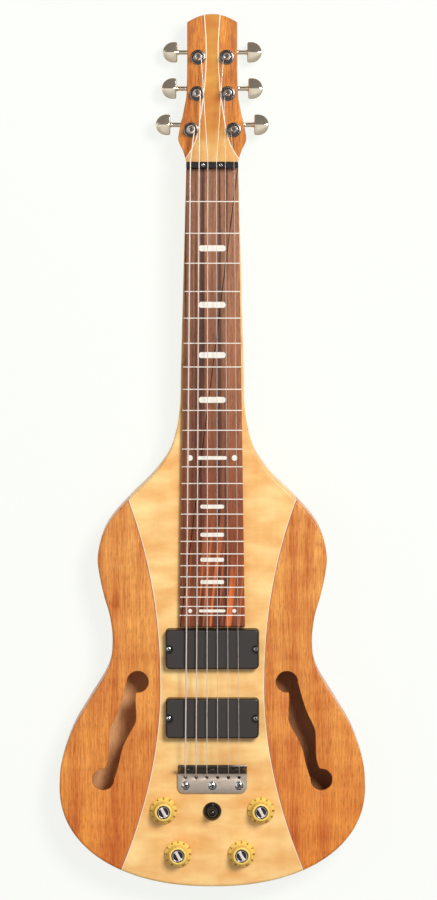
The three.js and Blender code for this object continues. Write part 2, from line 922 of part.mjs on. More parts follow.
function addFingerboard() {
  const nutHalf = neckWidthAtNut / 2;
  const outline = [
    [nutHalf, yAt(0)],
    [boardEndWidth / 2, yAt(boardEndStation)],
    [-boardEndWidth / 2, yAt(boardEndStation)],
    [-nutHalf, yAt(0)],
  ];
  const frets = Array.from({ length: fretCount }, (_, i) => {
    const station = fretStation(i + 1);
    const half = mix(nutHalf, boardEndWidth / 2, station / boardEndStation) - seatGap;
    const blank = prism(rectangle(half, fretWidth / 2), boardTop - fretHeight, boardTop + fretHeight);
    return blank.translate(0, yAt(station), 0);
  });
  addPiece("fingerboard", joined(prism(outline, bodyThickness, boardTop), ...frets), "rosewood");
}

function addNut() {
  const block = prism(rectangle(neckWidthAtNut / 2, nutLength / 2), bodyThickness, nutTop);
  const slots = strings.map(({ gauge, nutX }) =>
    prism(
      rectangle(gauge / 2 + seatGap, nutLength),
      stringTop - gauge - seatGap,
      stringTop + overrun,
    ).translate(nutX, 0, 0),
  );
  addPiece("nut", cutBy(solidOf(block), slots), "black", [0, yAt(-nutLength / 2), 0]);
}

function addBridge() {
  const lean = Math.tan(THREE.MathUtils.degToRad(bridgeLean));
  const rear = scaleLength + bridgeLength;
  const profile = [
    [scaleLength, flangeTop],
    [scaleLength + flangeTopLength, flangeTop],
    [scaleLength + flangeTopLength + (flangeTop - plateTop) / lean, plateTop],
    [rear, plateTop],
    [rear, bodyThickness],
    [scaleLength + (flangeTop - bodyThickness) / lean, bodyThickness],
  ];
  const half = bridgeWidth / 2;
  const corners = [
    [half, yAt(scaleLength)],
    [-half, yAt(scaleLength)],
    [-half, yAt(rear)],
    [half, yAt(rear)],
  ];
  const radii = [bridgeFrontRadius, bridgeFrontRadius, bridgeRearRadius, bridgeRearRadius];
  const plan = prism(roundCorners(corners, radii), bodyThickness - overrun, flangeTop + overrun);
  const plate = common(solidOf(crossPrism(profile, -half, half)), plan);
  const holes = strings.map(({ bridgeX }) =>
    rod(stringHoleRadius, bodyThickness - overrun, flangeTop, smallSides).translate(
      bridgeX,
      yAt(stringHoleStation),
      0,
    ),
  );
  const cuts = [...holes, ...bridgeScrewCuts(seatGap, bodyThickness - overrun)];
  addPiece("bridge_plate", cutBy(plate, cuts), "steel");
  const names = ["bass", "centre", "treble"];
  bridgeScrewXs.forEach((x, i) => {
    const screw = screwSolid(bridgeScrewHeadRadius, bridgeScrewHeadHeight, bridgeScrewLength);
    addPiece(`bridge_screw_${names[i]}`, screw, "chrome", [x, yAt(bridgeScrewStation), plateTop]);
  });
}

// Round-headed screw whose seat is at its origin
function screwSolid(headRadius, headHeight, length) {
  return solidOf(
    revolved(
      [
        [0, -length],
        [pickupScrewRadius, -length],
        [pickupScrewRadius, seatGap],
        [headRadius, seatGap],
        [headRadius, seatGap + headHeight * halfShare],
        [headRadius * screwDomeShare, seatGap + headHeight],
        [0, seatGap + headHeight],
      ],
      smallSides,
    ),
  );
}

function addPickups() {
  for (const [word, station] of Object.entries(pickupPlaces)) {
    const casing = roundedPrism(
      roundedRectangle(pickupLength / 2, pickupWidth / 2, pickupCornerRadius),
      pickupBottom,
      pickupTop,
      pickupEdgeRound,
    );
    const cuts = [-1, 1].flatMap((side) => {
      const x = (side * pickupScrewSpread) / 2;
      return [
        rod(pickupRecessRadius, pickupScrewSeat, pickupTop + overrun).translate(x, 0, 0),
        rod(pickupScrewRadius + seatGap, pickupBottom - overrun, pickupTop, smallSides).translate(x, 0, 0),
      ];
    });
    addPiece(`pickup_${word}`, cutBy(solidOf(casing), cuts), "pickup", [0, yAt(station), 0]);
    for (const [side, where] of [
      [-1, "bass"],
      [1, "treble"],
    ]) {
      const screw = screwSolid(pickupScrewHeadRadius, pickupScrewHeadHeight, pickupScrewLength);
      const place = [(side * pickupScrewSpread) / 2, yAt(station), pickupScrewSeat];
      addPiece(`pickup_screw_${word}_${where}`, screw, "chrome", place);
    }
  }
}

// Skirted knob on its shaft, with heights counted from the face of the body
function knobProfile() {
  const foot = knobAboveBody;
  const crown = knobAboveBody + knobHeight;
  const shaftEnd = -controlTopThickness - seatGap - potHeight * halfShare;
  return [
    [0, shaftEnd],
    [potShaftRadius, shaftEnd],
    [potShaftRadius, foot + knobSocketDepth],
    [knobSocketRadius, foot + knobSocketDepth],
    [knobSocketRadius, foot],
    [knobRadius, foot],
    [knobRadius, foot + knobSkirtHeight * skirtEdgeShare],
    [mix(knobRadius, knobCrownRadius, skirtSlopeShare), foot + knobSkirtHeight],
    [knobCrownRadius, foot + knobSkirtHeight * 2],
    [knobCrownRadius - knobTaper, crown],
    [knobInsertRadius, crown],
    [knobInsertRadius, crown + knobTaper],
    [0, crown + knobTaper],
  ];
}

function potProfile() {
  const lid = -controlTopThickness - seatGap;
  const bore = potShaftRadius + runningGap;
  return [
    [0, lid - potHeight],
    [potRadius, lid - potHeight],
    [potRadius, lid],
    [potBushingRadius, lid],
    [potBushingRadius, potBushingAboveBody],
    [bore, potBushingAboveBody],
    [bore, lid - potHeight * halfShare - runningGap],
    [0, lid - potHeight * halfShare - runningGap],
  ];
}

function addKnobs() {
  for (const { name, x, station } of knobs) {
    const place = [x, yAt(station), bodyThickness];
    addPiece(`knob_${name}`, solidOf(revolved(knobProfile(), knobSides)), "amber", place);
    addPiece(`pot_${name}`, solidOf(revolved(potProfile())), "steel", place);
  }
}

// Three-way selector, with heights counted from the face of the body
function addSelector() {
  const place = [0, yAt(selectorStation), bodyThickness];
  const pivot = -leverPivotDepth;
  const lid = -controlTopThickness - seatGap;
  const bushingTop = selectorNutHeight - seatGap * 2;
  const seat = leverBallRadius + runningGap;
  const wide = leverBallRadius + leverShankRadius;
  const bottom = pivot - leverBallRadius - leverTailLength - seatGap;
  const outline = rectangle(selectorBodyWidth / 2, selectorBodyLength / 2);
  const casing = prism(outline, lid - selectorBodyHeight, lid);
  const bushing = rod(selectorBushingRadius, lid - seatGap, bushingTop);
  const bore = revolved([
    [0, bottom],
    [seat, bottom],
    [seat, pivot + seatGap],
    [wide, pivot + leverBallRadius],
    [wide, bushingTop + overrun],
    [0, bushingTop + overrun],
  ]);
  addPiece("selector_body", cutBy(joined(casing, bushing), [bore]), "black", place);

  const inner = selectorBushingRadius + seatGap;
  const ring = revolved([
    [inner, 0],
    [selectorNutRadius, 0],
    [selectorNutRadius, selectorNutHeight * halfShare],
    [mix(selectorNutRadius, inner, ringCrownShare), selectorNutHeight],
    [inner, selectorNutHeight * halfShare],
    [inner, 0],
  ]);
  addPiece("selector_ring", solidOf(ring), "black", place);

  const tip = leverPivotDepth + leverHeight;
  const tipFoot = tip - leverTipLength;
  const lever = [
    [0, -leverBallRadius - leverTailLength],
    [leverShankRadius * halfShare, -leverBallRadius - leverTailLength],
    [leverShankRadius * halfShare, -leverBallRadius],
  ];
  for (let k = 1; k < ballSteps; k++) {
    const angle = mix(-Math.PI / 2, Math.PI / 2, k / ballSteps);
    const radius = leverBallRadius * Math.cos(angle);
    if (radius > leverShankRadius) lever.push([radius, leverBallRadius * Math.sin(angle)]);
  }
  lever.push(
    [leverShankRadius, leverBallRadius],
    [leverShankRadius, tipFoot],
    [leverTipRadius * tipFootShare, tipFoot],
    [leverTipRadius, tipFoot + leverTipLength * tipBellyShare],
    [leverTipRadius * tipShoulderShare, tip - leverTipRadius * tipRoundShare],
    [leverTipRadius * halfShare, tip],
    [0, tip],
  );
  const leverPlace = [0, yAt(selectorStation), bodyThickness + pivot];
  addPiece("selector_lever", solidOf(revolved(lever)), "black", leverPlace);
}

function addRearAndJack() {
  const cover = prism(cavityOutline(coverLedge), coverInset, coverInset + coverThickness);
  addPiece("rear_cover", solidOf(cover), "black");

  const outer = jackFloor + seatGap + jackFlangeThickness;
  const inner = jackFloor + seatGap - jackLength;
  const jack = joined(
    lengthwiseRod(jackFlangeRadius, jackFloor + seatGap, outer, 0),
    lengthwiseRod(jackRadius, inner, jackFloor + jackFlangeThickness, 0),
  );
  const bore = lengthwiseRod(jackBoreRadius, inner + jackFlangeThickness, outer + overrun, 0);
  addPiece("output_jack", cutBy(jack, [bore]), "steel", [0, 0, jackHeight]);
}

// Tube through a list of points, mitred at the bends, none of which runs along X
function mitredTube(points, radius, sides) {
  const positions = [];
  const faces = [];
  points.forEach((point, i) => {
    const into = i > 0 ? point.clone().sub(points[i - 1]).normalize() : null;
    const out = i < points.length - 1 ? points[i + 1].clone().sub(point).normalize() : null;
    const along = (into || out).clone().add(out || into).normalize();
    const right = new THREE.Vector3(1, 0, 0).addScaledVector(along, -along.x).normalize();
    const up = right.clone().cross(along);
    const stretch = into && out ? 1 / Math.max(into.dot(along), halfShare) : 1;
    for (let k = 0; k < sides; k++) {
      const angle = (2 * Math.PI * k) / sides;
      const corner = point
        .clone()
        .addScaledVector(right, radius * Math.cos(angle))
        .addScaledVector(up, radius * stretch * Math.sin(angle));
      positions.push(...corner.toArray());
    }
  });
  const last = points.length - 1;
  for (let i = 0; i < last; i++) {
    for (let k = 0; k < sides; k++) {
      const a = i * sides + k;
      const b = i * sides + ((k + 1) % sides);
      faces.push(a, b, b + sides, a, b + sides, a + sides);
    }
  }
  for (let k = 1; k < sides - 1; k++) {
    faces.push(0, k + 1, k);
    faces.push(last * sides, last * sides + k, last * sides + k + 1);
  }
  const geometry = new THREE.BufferGeometry();
  geometry.setAttribute("position", new THREE.Float32BufferAttribute(positions, 3));
  geometry.setIndex(faces);
  return geometry;
}

// Where a string leaves its post: tangent to the post, stopped just outside the winding
function stringStart({ gauge, nutX, tuner }, nutHeight) {
  const nut = head.worldToLocal(new THREE.Vector3(nutX, yAt(-nutLength), nutHeight));
  const post = new THREE.Vector2(tuner.place[0], tuner.place[1]);
  const toNut = new THREE.Vector2(nut.x, nut.y).sub(post);
  const reach = postRadius + gauge / 2;
  const swing = Math.acos(reach / toNut.length());
  const angle = toNut.angle() - tuner.side * swing;
  const touch = new THREE.Vector2(Math.cos(angle), Math.sin(angle)).multiplyScalar(reach).add(post);
  const run = new THREE.Vector2(nut.x, nut.y).sub(touch).normalize();
  const stand = Math.sqrt((postRadius + gauge + runningGap + gauge / 2) ** 2 - reach ** 2);
  const end = touch.addScaledVector(run, stand);
  return head.localToWorld(new THREE.Vector3(end.x, end.y, postStringHeight));
}

function addStrings() {
  strings.forEach((string, i) => {
    const { gauge, nutX, bridgeX } = string;
    const radius = gauge / 2;
    const nutHeight = stringTop - radius;
    const bridgeHeight = flangeTop + seatGap + radius;
    const path = [
      stringStart(string, nutHeight),
      new THREE.Vector3(nutX, yAt(-nutLength), nutHeight),
      new THREE.Vector3(nutX, yAt(0), nutHeight),
      new THREE.Vector3(bridgeX, yAt(scaleLength), bridgeHeight),
      new THREE.Vector3(bridgeX, yAt(scaleLength + flangeTopLength + radius), bridgeHeight),
      new THREE.Vector3(bridgeX, yAt(stringHoleStation), plateTop + radius),
      new THREE.Vector3(bridgeX, yAt(stringHoleStation), ballSeat - ballEndLength * halfShare),
    ];
    const ball = rod(ballEndRadius, ballSeat - ballEndLength, ballSeat, smallSides).translate(
      bridgeX,
      yAt(stringHoleStation),
      0,
    );
    addPiece(`string_${i + 1}`, joined(mitredTube(path, radius, stringSides), ball), "wire");
  });
}

const gearPitch = (2 * Math.PI * gearPitchRadius) / gearTeeth;
const centreDistance = gearPitchRadius + wormPitchRadius;
const toothSlope = Math.tan(THREE.MathUtils.degToRad(toothFlankDegrees));
const housingTop = headBack - seatGap;
const gearMiddle = housingTop - gearDepth;
const gearOuterRadius = gearPitchRadius + toothAddendum;
const wormOuterRadius = wormPitchRadius + toothAddendum;
const wormRootRadius = wormPitchRadius - toothDedendum;
const wormHalfLength = (wormTurns * gearPitch) / 2 + toothHalfAt(-toothDedendum);

// Half thickness of a tooth or thread, this far out from its pitch line
function toothHalfAt(rise) {
  return gearPitch / 4 - toothBacklash / 2 - rise * toothSlope;
}

// Thread of the worm: a trapezoid carried along a right-handed helix about X, with a crest facing the gear
function wormThread() {
  const section = [
    [wormRootRadius - threadSink, -toothHalfAt(-toothDedendum)],
    [wormRootRadius - threadSink, toothHalfAt(-toothDedendum)],
    [wormOuterRadius, toothHalfAt(toothAddendum)],
    [wormOuterRadius, -toothHalfAt(toothAddendum)],
  ];
  const steps = Math.round(wormTurns * threadSteps);
  const positions = [];
  const faces = [];
  for (let i = 0; i <= steps; i++) {
    const turn = i / threadSteps - wormTurns / 2;
    const angle = 2 * Math.PI * turn;
    for (const [radius, offset] of section) {
      positions.push(gearPitch * turn + offset, -radius * Math.cos(angle), -radius * Math.sin(angle));
    }
  }
  const sides = section.length;
  for (let i = 0; i < steps; i++) {
    for (let k = 0; k < sides; k++) {
      const a = i * sides + k;
      const b = i * sides + ((k + 1) % sides);
      faces.push(a, b, b + sides, a, b + sides, a + sides);
    }
  }
  const last = steps * sides;
  faces.push(0, 2, 1, 0, 3, 2);
  faces.push(last, last + 1, last + 2, last, last + 2, last + 3);
  const geometry = new THREE.BufferGeometry();
  geometry.setAttribute("position", new THREE.Float32BufferAttribute(positions, 3));
  geometry.setIndex(faces);
  return geometry;
}

// Gear whose teeth slant with the thread, with a gap between two teeth facing the worm
function gearGeometry() {
  const step = (2 * Math.PI) / gearTeeth;
  const rootRadius = gearPitchRadius - toothDedendum;
  const points = [];
  for (let i = 0; i < gearTeeth; i++) {
    const middle = Math.PI / 2 + step * (i + halfShare);
    for (const [radius, offset] of [
      [rootRadius, -toothHalfAt(-toothDedendum)],
      [gearOuterRadius, -toothHalfAt(toothAddendum)],
      [gearOuterRadius, toothHalfAt(toothAddendum)],
      [rootRadius, toothHalfAt(-toothDedendum)],
    ]) {
      const angle = middle + offset / radius;
      points.push([radius * Math.cos(angle), radius * Math.sin(angle)]);
    }
  }
  const geometry = prism(points, -gearThickness / 2, gearThickness / 2);
  const lead = gearPitch / (2 * Math.PI * wormPitchRadius * gearPitchRadius);
  const place = geometry.attributes.position;
  const corner = new THREE.Vector3();
  for (let i = 0; i < place.count; i++) {
    corner.fromBufferAttribute(place, i);
    corner.applyAxisAngle(new THREE.Vector3(0, 0, 1), lead * corner.z);
    place.setXYZ(i, ...corner.toArray());
  }
  return geometry;
}

// Rod along X through [radius, place] pairs
function crosswise(pairs, sides) {
  return revolved(pairs, sides).rotateY(Math.PI / 2);
}

function crosswiseRod(radius, from, to, sides) {
  return rod(radius, from, to, sides).rotateY(Math.PI / 2);
}

// Housing under the head with the threaded sleeve, washer and bushing that clamp it
function housingSolid(side) {
  const bottom = housingTop - housingDepth;
  const tipward = centreDistance + housingTipward;
  const corners = [
    [-housingInboard, -housingNutward],
    [housingOutboard, -housingNutward],
    [housingOutboard, tipward],
    [-housingInboard, tipward],
  ];
  const box = prism(
    roundCorners(
      corners,
      corners.map(() => housingCorner),
    ),
    bottom,
    housingTop,
  );
  const sleeve = revolved(
    [
      [0, gearMiddle],
      [sleeveRadius, gearMiddle],
      [sleeveRadius, seatGap],
      [washerRadius, seatGap],
      [washerRadius - washerThickness * halfShare, seatGap + washerThickness],
      [bushingRadius, seatGap + washerThickness],
      [bushingRadius - seatGap, bushingHeight],
      [0, bushingHeight],
    ],
    tunerSides,
  );
  const pocket = gearThickness / 2 + seatGap;
  const wormRoom = wormHalfLength + seatGap;
  const pinEnd = gearMiddle - gearThickness / 2 - pinLength - seatGap;
  const shaftEnd = -wormRoom - pinLength - seatGap;
  const shaftPlace = [0, centreDistance, gearMiddle];
  const wormCut = crosswiseRod(wormOuterRadius + seatGap, -wormRoom, wormRoom, tunerSides);
  const shaftCut = crosswiseRod(wormRootRadius + runningGap, shaftEnd, housingOutboard + overrun, tunerSides);
  const cuts = [
    rod(postRadius + runningGap, gearMiddle, bushingHeight + overrun, tunerSides),
    rod(gearOuterRadius + seatGap, gearMiddle - pocket, gearMiddle + pocket, pocketSides),
    rod(pinRadius + runningGap, pinEnd, gearMiddle, tunerSides),
    wormCut.translate(...shaftPlace),
    shaftCut.translate(...shaftPlace),
  ];
  const flip = (geometry) => geometry.scale(side, 1, 1);
  return cutBy(joined(flip(box), flip(sleeve)), cuts.map(flip));
}

// Button with its shaft and worm, with its origin on the shaft beside the post
function buttonSolid(side) {
  const collar = housingOutboard + seatGap;
  const shaft = crosswise(
    [
      [0, -wormHalfLength - pinLength],
      [wormRootRadius, -wormHalfLength - pinLength],
      [wormRootRadius, collar],
      [buttonCollarRadius, collar],
      [buttonCollarRadius, collar + buttonCollarLength],
      [buttonShankRadius, collar + buttonCollarLength],
      [buttonShankRadius, buttonFromPost - buttonCollarLength],
      [buttonCollarRadius, buttonFromPost - buttonCollarLength],
      [buttonCollarRadius, buttonFromPost + buttonCollarLength],
      [0, buttonFromPost + buttonCollarLength],
    ],
    smallSides,
  );
  const half = buttonHeight / 2;
  const round = buttonLength - half;
  const outline = [
    [0, half - buttonCollarLength],
    [0, buttonCollarLength - half],
    [buttonCollarLength, -half],
  ];
  for (let k = 0; k <= buttonSteps; k++) {
    const angle = mix(-Math.PI / 2, Math.PI / 2, k / buttonSteps);
    outline.push([round + half * Math.cos(angle), half * Math.sin(angle)]);
  }
  outline.push([buttonCollarLength, half]);
  const roof = [
    [-half, -buttonEdgeThickness / 2],
    [0, -buttonThickness / 2],
    [half, -buttonEdgeThickness / 2],
    [half, buttonEdgeThickness / 2],
    [0, buttonThickness / 2],
    [-half, buttonEdgeThickness / 2],
  ];
  const turn = new THREE.Matrix4().makeBasis(
    new THREE.Vector3(0, 1, 0),
    new THREE.Vector3(0, 0, 1),
    new THREE.Vector3(1, 0, 0),
  );
  const grip = common(
    solidOf(prism(outline, -half, half).translate(buttonFromPost, 0, 0).scale(side, 1, 1)),
    prism(roof, -overrun, buttonFromPost + buttonLength + overrun).applyMatrix4(turn).scale(side, 1, 1),
  );
  return joined(shaft.scale(side, 1, 1), wormThread()).add(grip);
}

// Post with its gear and pin, and the winding of the string round it
function postSolid(gauge) {
  const winding = postRadius + gauge;
  const low = postStringHeight - windingHalfHeight;
  const high = postStringHeight + windingHalfHeight;
  const stem = revolved(
    [
      [0, gearMiddle - gearThickness / 2 - pinLength],
      [pinRadius, gearMiddle - gearThickness / 2 - pinLength],
      [pinRadius, gearMiddle],
      [postRadius, gearMiddle],
      [postRadius, low],
      [winding, low],
      [winding, high],
      [postRadius, high],
      [postRadius, postHeight - postChamfer],
      [postRadius - postChamfer, postHeight],
      [postChamfer * 2, postHeight],
      [0, postHeight - postChamfer],
    ],
    tunerSides,
  );
  return joined(stem, gearGeometry().translate(0, 0, gearMiddle));
}

function addTuners() {
  tuners.forEach(({ side, place }, i) => {
    const label = i + 1;
    const [across, along] = place;
    addPiece(`tuner_housing_${label}`, housingSolid(side), "chrome", place, head);
    addPiece(`tuner_post_${label}`, postSolid(stringGauges[i]), "chrome", place, head);
    const shaft = [across, along + centreDistance, gearMiddle];
    addPiece(`tuner_button_${label}`, buttonSolid(side), "chrome", shaft, head);
  });
}

addWood();
addFingerboard();
addNut();
addBridge();
addPickups();
addKnobs();
addSelector();
addRearAndJack();
addStrings();
addTuners();

export default instrument;
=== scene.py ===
"""Looks of a neck-through lap steel guitar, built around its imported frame.

The classes keep their sizes in millimetres. A station is a distance from the nut towards the tail.
X runs across the strings with the treble side positive, Y from the tail to the head, and Z rises from the back.
"""

import logging
import math
from contextlib import contextmanager
from dataclasses import dataclass
from enum import Enum
from typing import Iterator, Optional, Sequence

import bmesh
import bpy
import numpy as np
from mathutils import Matrix, Vector


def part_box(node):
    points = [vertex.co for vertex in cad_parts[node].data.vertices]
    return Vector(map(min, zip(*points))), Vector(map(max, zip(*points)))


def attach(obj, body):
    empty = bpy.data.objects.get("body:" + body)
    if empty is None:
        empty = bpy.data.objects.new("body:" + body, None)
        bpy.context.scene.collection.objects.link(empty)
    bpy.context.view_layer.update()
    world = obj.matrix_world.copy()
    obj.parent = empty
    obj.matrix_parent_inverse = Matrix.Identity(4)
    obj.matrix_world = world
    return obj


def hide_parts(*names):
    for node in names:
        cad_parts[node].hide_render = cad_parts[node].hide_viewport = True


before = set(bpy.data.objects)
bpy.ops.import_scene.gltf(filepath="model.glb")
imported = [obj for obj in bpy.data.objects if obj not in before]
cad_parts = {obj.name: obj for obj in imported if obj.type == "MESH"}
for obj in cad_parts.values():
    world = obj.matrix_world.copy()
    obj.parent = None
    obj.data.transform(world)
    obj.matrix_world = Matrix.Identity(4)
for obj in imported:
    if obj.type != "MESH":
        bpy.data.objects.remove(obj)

LOG = logging.getLogger("lap_steel")
MM = 0.001
INSTRUMENT = "instrument"
FLAT_MARGIN = 0.3
SIDE_SHARE = 0.45
SHARP_DEGREES = 38.0
MERGE_METRES = 2e-6
FONT_BOLDNESS = 0.045
PICKUP_TOP = 55.5
POST_STRING = 7.5
WINDING_CORE = 2.65
QUARTER = math.pi / 2
Array = np.ndarray
Triple = tuple[float, float, float]
Tone = tuple[float, float, float, float]
Piece = bpy.types.Object
Material = bpy.types.Material
Tree = bpy.types.NodeTree
Node = bpy.types.Node
Socket = bpy.types.NodeSocket


class Side(Enum):
    """The two sides of the instrument, with the sign of X on each."""

    BASS = -1
    TREBLE = 1

    @property
    def word(self) -> str:
        """The side's name as the frame's nodes spell it."""
        return self.name.lower()


# Arrays and curves


def mix(start: float, end: float, share: float) -> float:
    """Straight blend from start to end."""
    return start + (end - start) * share


def smooth_step(low: float, high: float, value: Array) -> Array:
    """Share from 0 to 1 between two values, with a slope of zero at both ends: 3t^2 - 2t^3."""
    share = np.clip((value - low) / (high - low), 0.0, 1.0)
    return share * share * (3.0 - 2.0 * share)


def spline(points: Array, count: int) -> Array:
    """Smooth curve through points.

    A centripetal Catmull-Rom curve: each stretch is a cubic whose end tangents come from the
    neighbours, weighted by the square roots of the distances between them.

    Args:
        points: the points that it passes, one row each.
        count: number of points on the curve.

    Returns:
        The curve's points, one row each.
    """
    points = np.asarray(points, float)
    before = 2 * points[0] - points[1]
    after = 2 * points[-1] - points[-2]
    held = np.vstack([before, points, after])
    place = np.linspace(0, len(points) - 1, count)
    index = np.minimum(place.astype(int), len(points) - 2)
    share = (place - index)[:, None]
    first, second, third, fourth = (held[index + k] for k in range(4))
    pairs = ((first, second), (second, third), (third, fourth))
    one, two, three = (np.linalg.norm(b - a, axis=1)[:, None] ** 0.5 for a, b in pairs)
    start = ((second - first) / one - (third - first) / (one + two) + (third - second) / two) * two
    end = ((third - second) / two - (fourth - second) / (two + three) + (fourth - third) / three) * two
    square, cube = share**2, share**3
    return (
        second
        + start * share
        + (3 * (third - second) - 2 * start - end) * square
        + (2 * (second - third) + start + end) * cube
    )


def angles(sides: int) -> Array:
    """Even angles round a circle, from 0."""
    return 2 * np.pi * np.arange(sides) / sides


def on_circle(radius: float | Array, angle: Array) -> Array:
    """Points of a circle: radius times the cosine and sine of each angle, one row each."""
    return np.reshape(radius, (-1, 1)) * np.column_stack([np.cos(angle), np.sin(angle)])


def rounded_polygon(corners: Array, radii: Sequence[float], steps: int = 8) -> Array:
    """Polygon with arcs at its corners.

    Each corner gives way to an arc about a centre on its bisector, tangent to both of its sides.

    Args:
        corners: corners in order, one row each.
        radii: radius of each corner's arc.
        steps: steps along each arc.

    Returns:
        The outline's points, one row each.
    """
    corners = np.asarray(corners, float)
    out = []
    for i, radius in enumerate(radii):
        tip = corners[i]
        to_last = corners[i - 1] - tip
        to_next = corners[(i + 1) % len(corners)] - tip
        to_last /= np.linalg.norm(to_last)
        to_next /= np.linalg.norm(to_next)
        half = math.acos(np.clip(to_last @ to_next, -1, 1)) / 2
        middle = to_last + to_next
        centre = tip + middle / np.linalg.norm(middle) * radius / math.sin(half)
        reach = radius / math.tan(half)
        start = tip + to_last * reach - centre
        end = tip + to_next * reach - centre
        first = math.atan2(start[1], start[0])
        sweep = (math.atan2(end[1], end[0]) - first + math.pi) % (2 * math.pi) - math.pi
        angle = first + sweep * np.linspace(0, 1, steps + 1)
        out.append(centre + on_circle(radius, angle))
    return np.vstack(out)


def rectangle(half_x: float, half_y: float) -> Array:
    """Four corners of a rectangle about the origin, anticlockwise."""
    return np.array([[half_x, -half_y], [half_x, half_y], [-half_x, half_y], [-half_x, -half_y]])


def inset(loop: Array, depth: float | Array) -> Array:
    """Closed outline moved inwards, along each point's own normal.

    Args:
        loop: outline in anticlockwise order, one row a point.
        depth: how far inwards it moves, the same all round or point by point.

    Returns:
        The moved outline, point for point.
    """
    along = np.roll(loop, -1, axis=0) - np.roll(loop, 1, axis=0)
    along /= np.linalg.norm(along, axis=1)[:, None]
    return loop + np.reshape(depth, (-1, 1)) * np.column_stack([-along[:, 1], along[:, 0]])


def resample(loop: Array, step: float) -> Array:
    """Closed outline with even spacing, found along its running length, with its sharp corners kept.

    Args:
        loop: the outline, one row a point.
        step: spacing that it aims at.

    Returns:
        The new points, one row each.
    """
    back = loop - np.roll(loop, 1, axis=0)
    ahead = np.roll(loop, -1, axis=0) - loop
    bend = np.abs(np.arctan2(back[:, 0] * ahead[:, 1] - back[:, 1] * ahead[:, 0], (back * ahead).sum(axis=1)))
    corners = np.flatnonzero(bend > math.radians(25))
    if len(corners):
        loop = np.roll(loop, -corners[0], axis=0)
        corners = corners - corners[0]
    closed = np.vstack([loop, loop[:1]])
    length = np.concatenate([[0], np.cumsum(np.linalg.norm(np.diff(closed, axis=0), axis=1))])
    marks = np.append(length[corners], length[-1]) if len(corners) else np.array([0, length[-1]])
    places = [
        np.linspace(a, b, max(int((b - a) / step), 1), endpoint=False) for a, b in zip(marks[:-1], marks[1:])
    ]
    place = np.concatenate(places)
    return np.column_stack([np.interp(place, length, closed[:, k]) for k in (0, 1)])


def cosine_ramp(low: float, high: float, value: Array) -> Array:
    """Share from 0 to 1 by half a cosine wave."""
    return (1 - np.cos(np.pi * np.clip((value - low) / (high - low), 0, 1))) / 2


def softened(corners: Array, reach: float, steps: int = 4) -> Array:
    """Path whose inner corners give way to short parabolas: each blends from one side to the next.

    Args:
        corners: points of the path, one row each.
        reach: how far from a corner its parabola starts.
        steps: points on each parabola.

    Returns:
        The new points, one row each.
    """
    out = [corners[:1]]
    share = np.linspace(0, 1, steps)[:, None]
    for before, tip, after in zip(corners[:-2], corners[1:-1], corners[2:]):
        last, following = np.linalg.norm(before - tip), np.linalg.norm(after - tip)
        back, ahead = (before - tip) / last, (after - tip) / following
        room = min(reach, last * SIDE_SHARE, following * SIDE_SHARE)
        start, end = tip + back * room, tip + ahead * room
        out.append((1 - share) ** 2 * start + 2 * share * (1 - share) * tip + share**2 * end)
    out.append(corners[-1:])
    return np.vstack(out)


# Meshes


def grid_faces(rows: int, columns: int) -> Array:
    """Four-sided faces of a grid of points stored row by row, whose last column joins the first.

    Args:
        rows: number of rows.
        columns: points in each row.

    Returns:
        Vertex numbers, one row a face.
    """
    row = np.arange(rows - 1)[:, None] * columns
    column = np.arange(columns)[None, :]
    after = (column + 1) % columns
    faces = np.stack([row + column, row + after, row + columns + after, row + columns + column], axis=-1)
    return faces.reshape(-1, 4)


def carried(points: Array, matrix: Matrix) -> Array:
    """Points, one or one a row, under a matrix of four rows."""
    turn = np.array(matrix, float)
    return points @ turn[:3, :3].T + turn[:3, 3]


@dataclass
class Shell:
    """Vertices in millimetres and faces of one surface, before it is a piece."""

    points: Array
    faces: list[list[int]]

    def moved(self, x: float = 0.0, y: float = 0.0, z: float = 0.0) -> "Shell":
        """The same surface somewhere else."""
        return Shell(self.points + np.array([x, y, z]), self.faces)

    def turned(self, matrix: Matrix) -> "Shell":
        """The same surface under a matrix that turns and moves, in millimetres."""
        return Shell(carried(self.points, matrix.to_4x4()), self.faces)

    def spun(self, angle: float, axis: str) -> "Shell":
        """The same surface turned about one axis, by an angle in radians."""
        return self.turned(Matrix.Rotation(angle, 3, axis))

    def mirrored(self) -> "Shell":
        """The same surface with X reversed, and its faces turned back outwards."""
        return Shell(self.points * np.array([-1.0, 1.0, 1.0]), [face[::-1] for face in self.faces])


def on_side(shell: Shell, side: Side) -> Shell:
    """A surface that was made for the treble side, on either side."""
    return shell if side is Side.TREBLE else shell.mirrored()


def gathered(shells: Sequence[Shell]) -> Shell:
    """Several surfaces as one.

    Args:
        shells: the surfaces.

    Returns:
        The one surface.
    """
    faces: list[list[int]] = []
    start = 0
    for shell in shells:
        faces.extend([[start + i for i in face] for face in shell.faces])
        start += len(shell.points)
    return Shell(np.vstack([shell.points for shell in shells]), faces)


def tube(rings: Array, capped: bool = True) -> Shell:
    """Closed surface through rings of points.

    Args:
        rings: an array of rings by points by X, Y and Z, each ring anticlockwise seen from the last one.
        capped: whether the first and the last ring are filled.

    Returns:
        The surface.
    """
    count, sides = rings.shape[:2]
    faces = grid_faces(count, sides).tolist()
    if capped:
        faces.append(list(range(sides))[::-1])
        faces.append(list(range((count - 1) * sides, count * sides)))
    return Shell(rings.reshape(-1, 3), faces)


def waved(radius: Array, height: Array, capped: bool = True) -> Shell:
    """Surface about Z through rings whose radius may change with the angle.

    Args:
        radius: radii, one row a ring and one column an angle.
        height: height of each ring, from the bottom to the top along the outside.
        capped: whether its ends are filled.

    Returns:
        The surface.
    """
    rings = np.empty((*radius.shape, 3))
    rings[:, :, :2] = radius[:, :, None] * on_circle(1.0, angles(radius.shape[1]))
    rings[:, :, 2] = height[:, None]
    return tube(rings, capped)


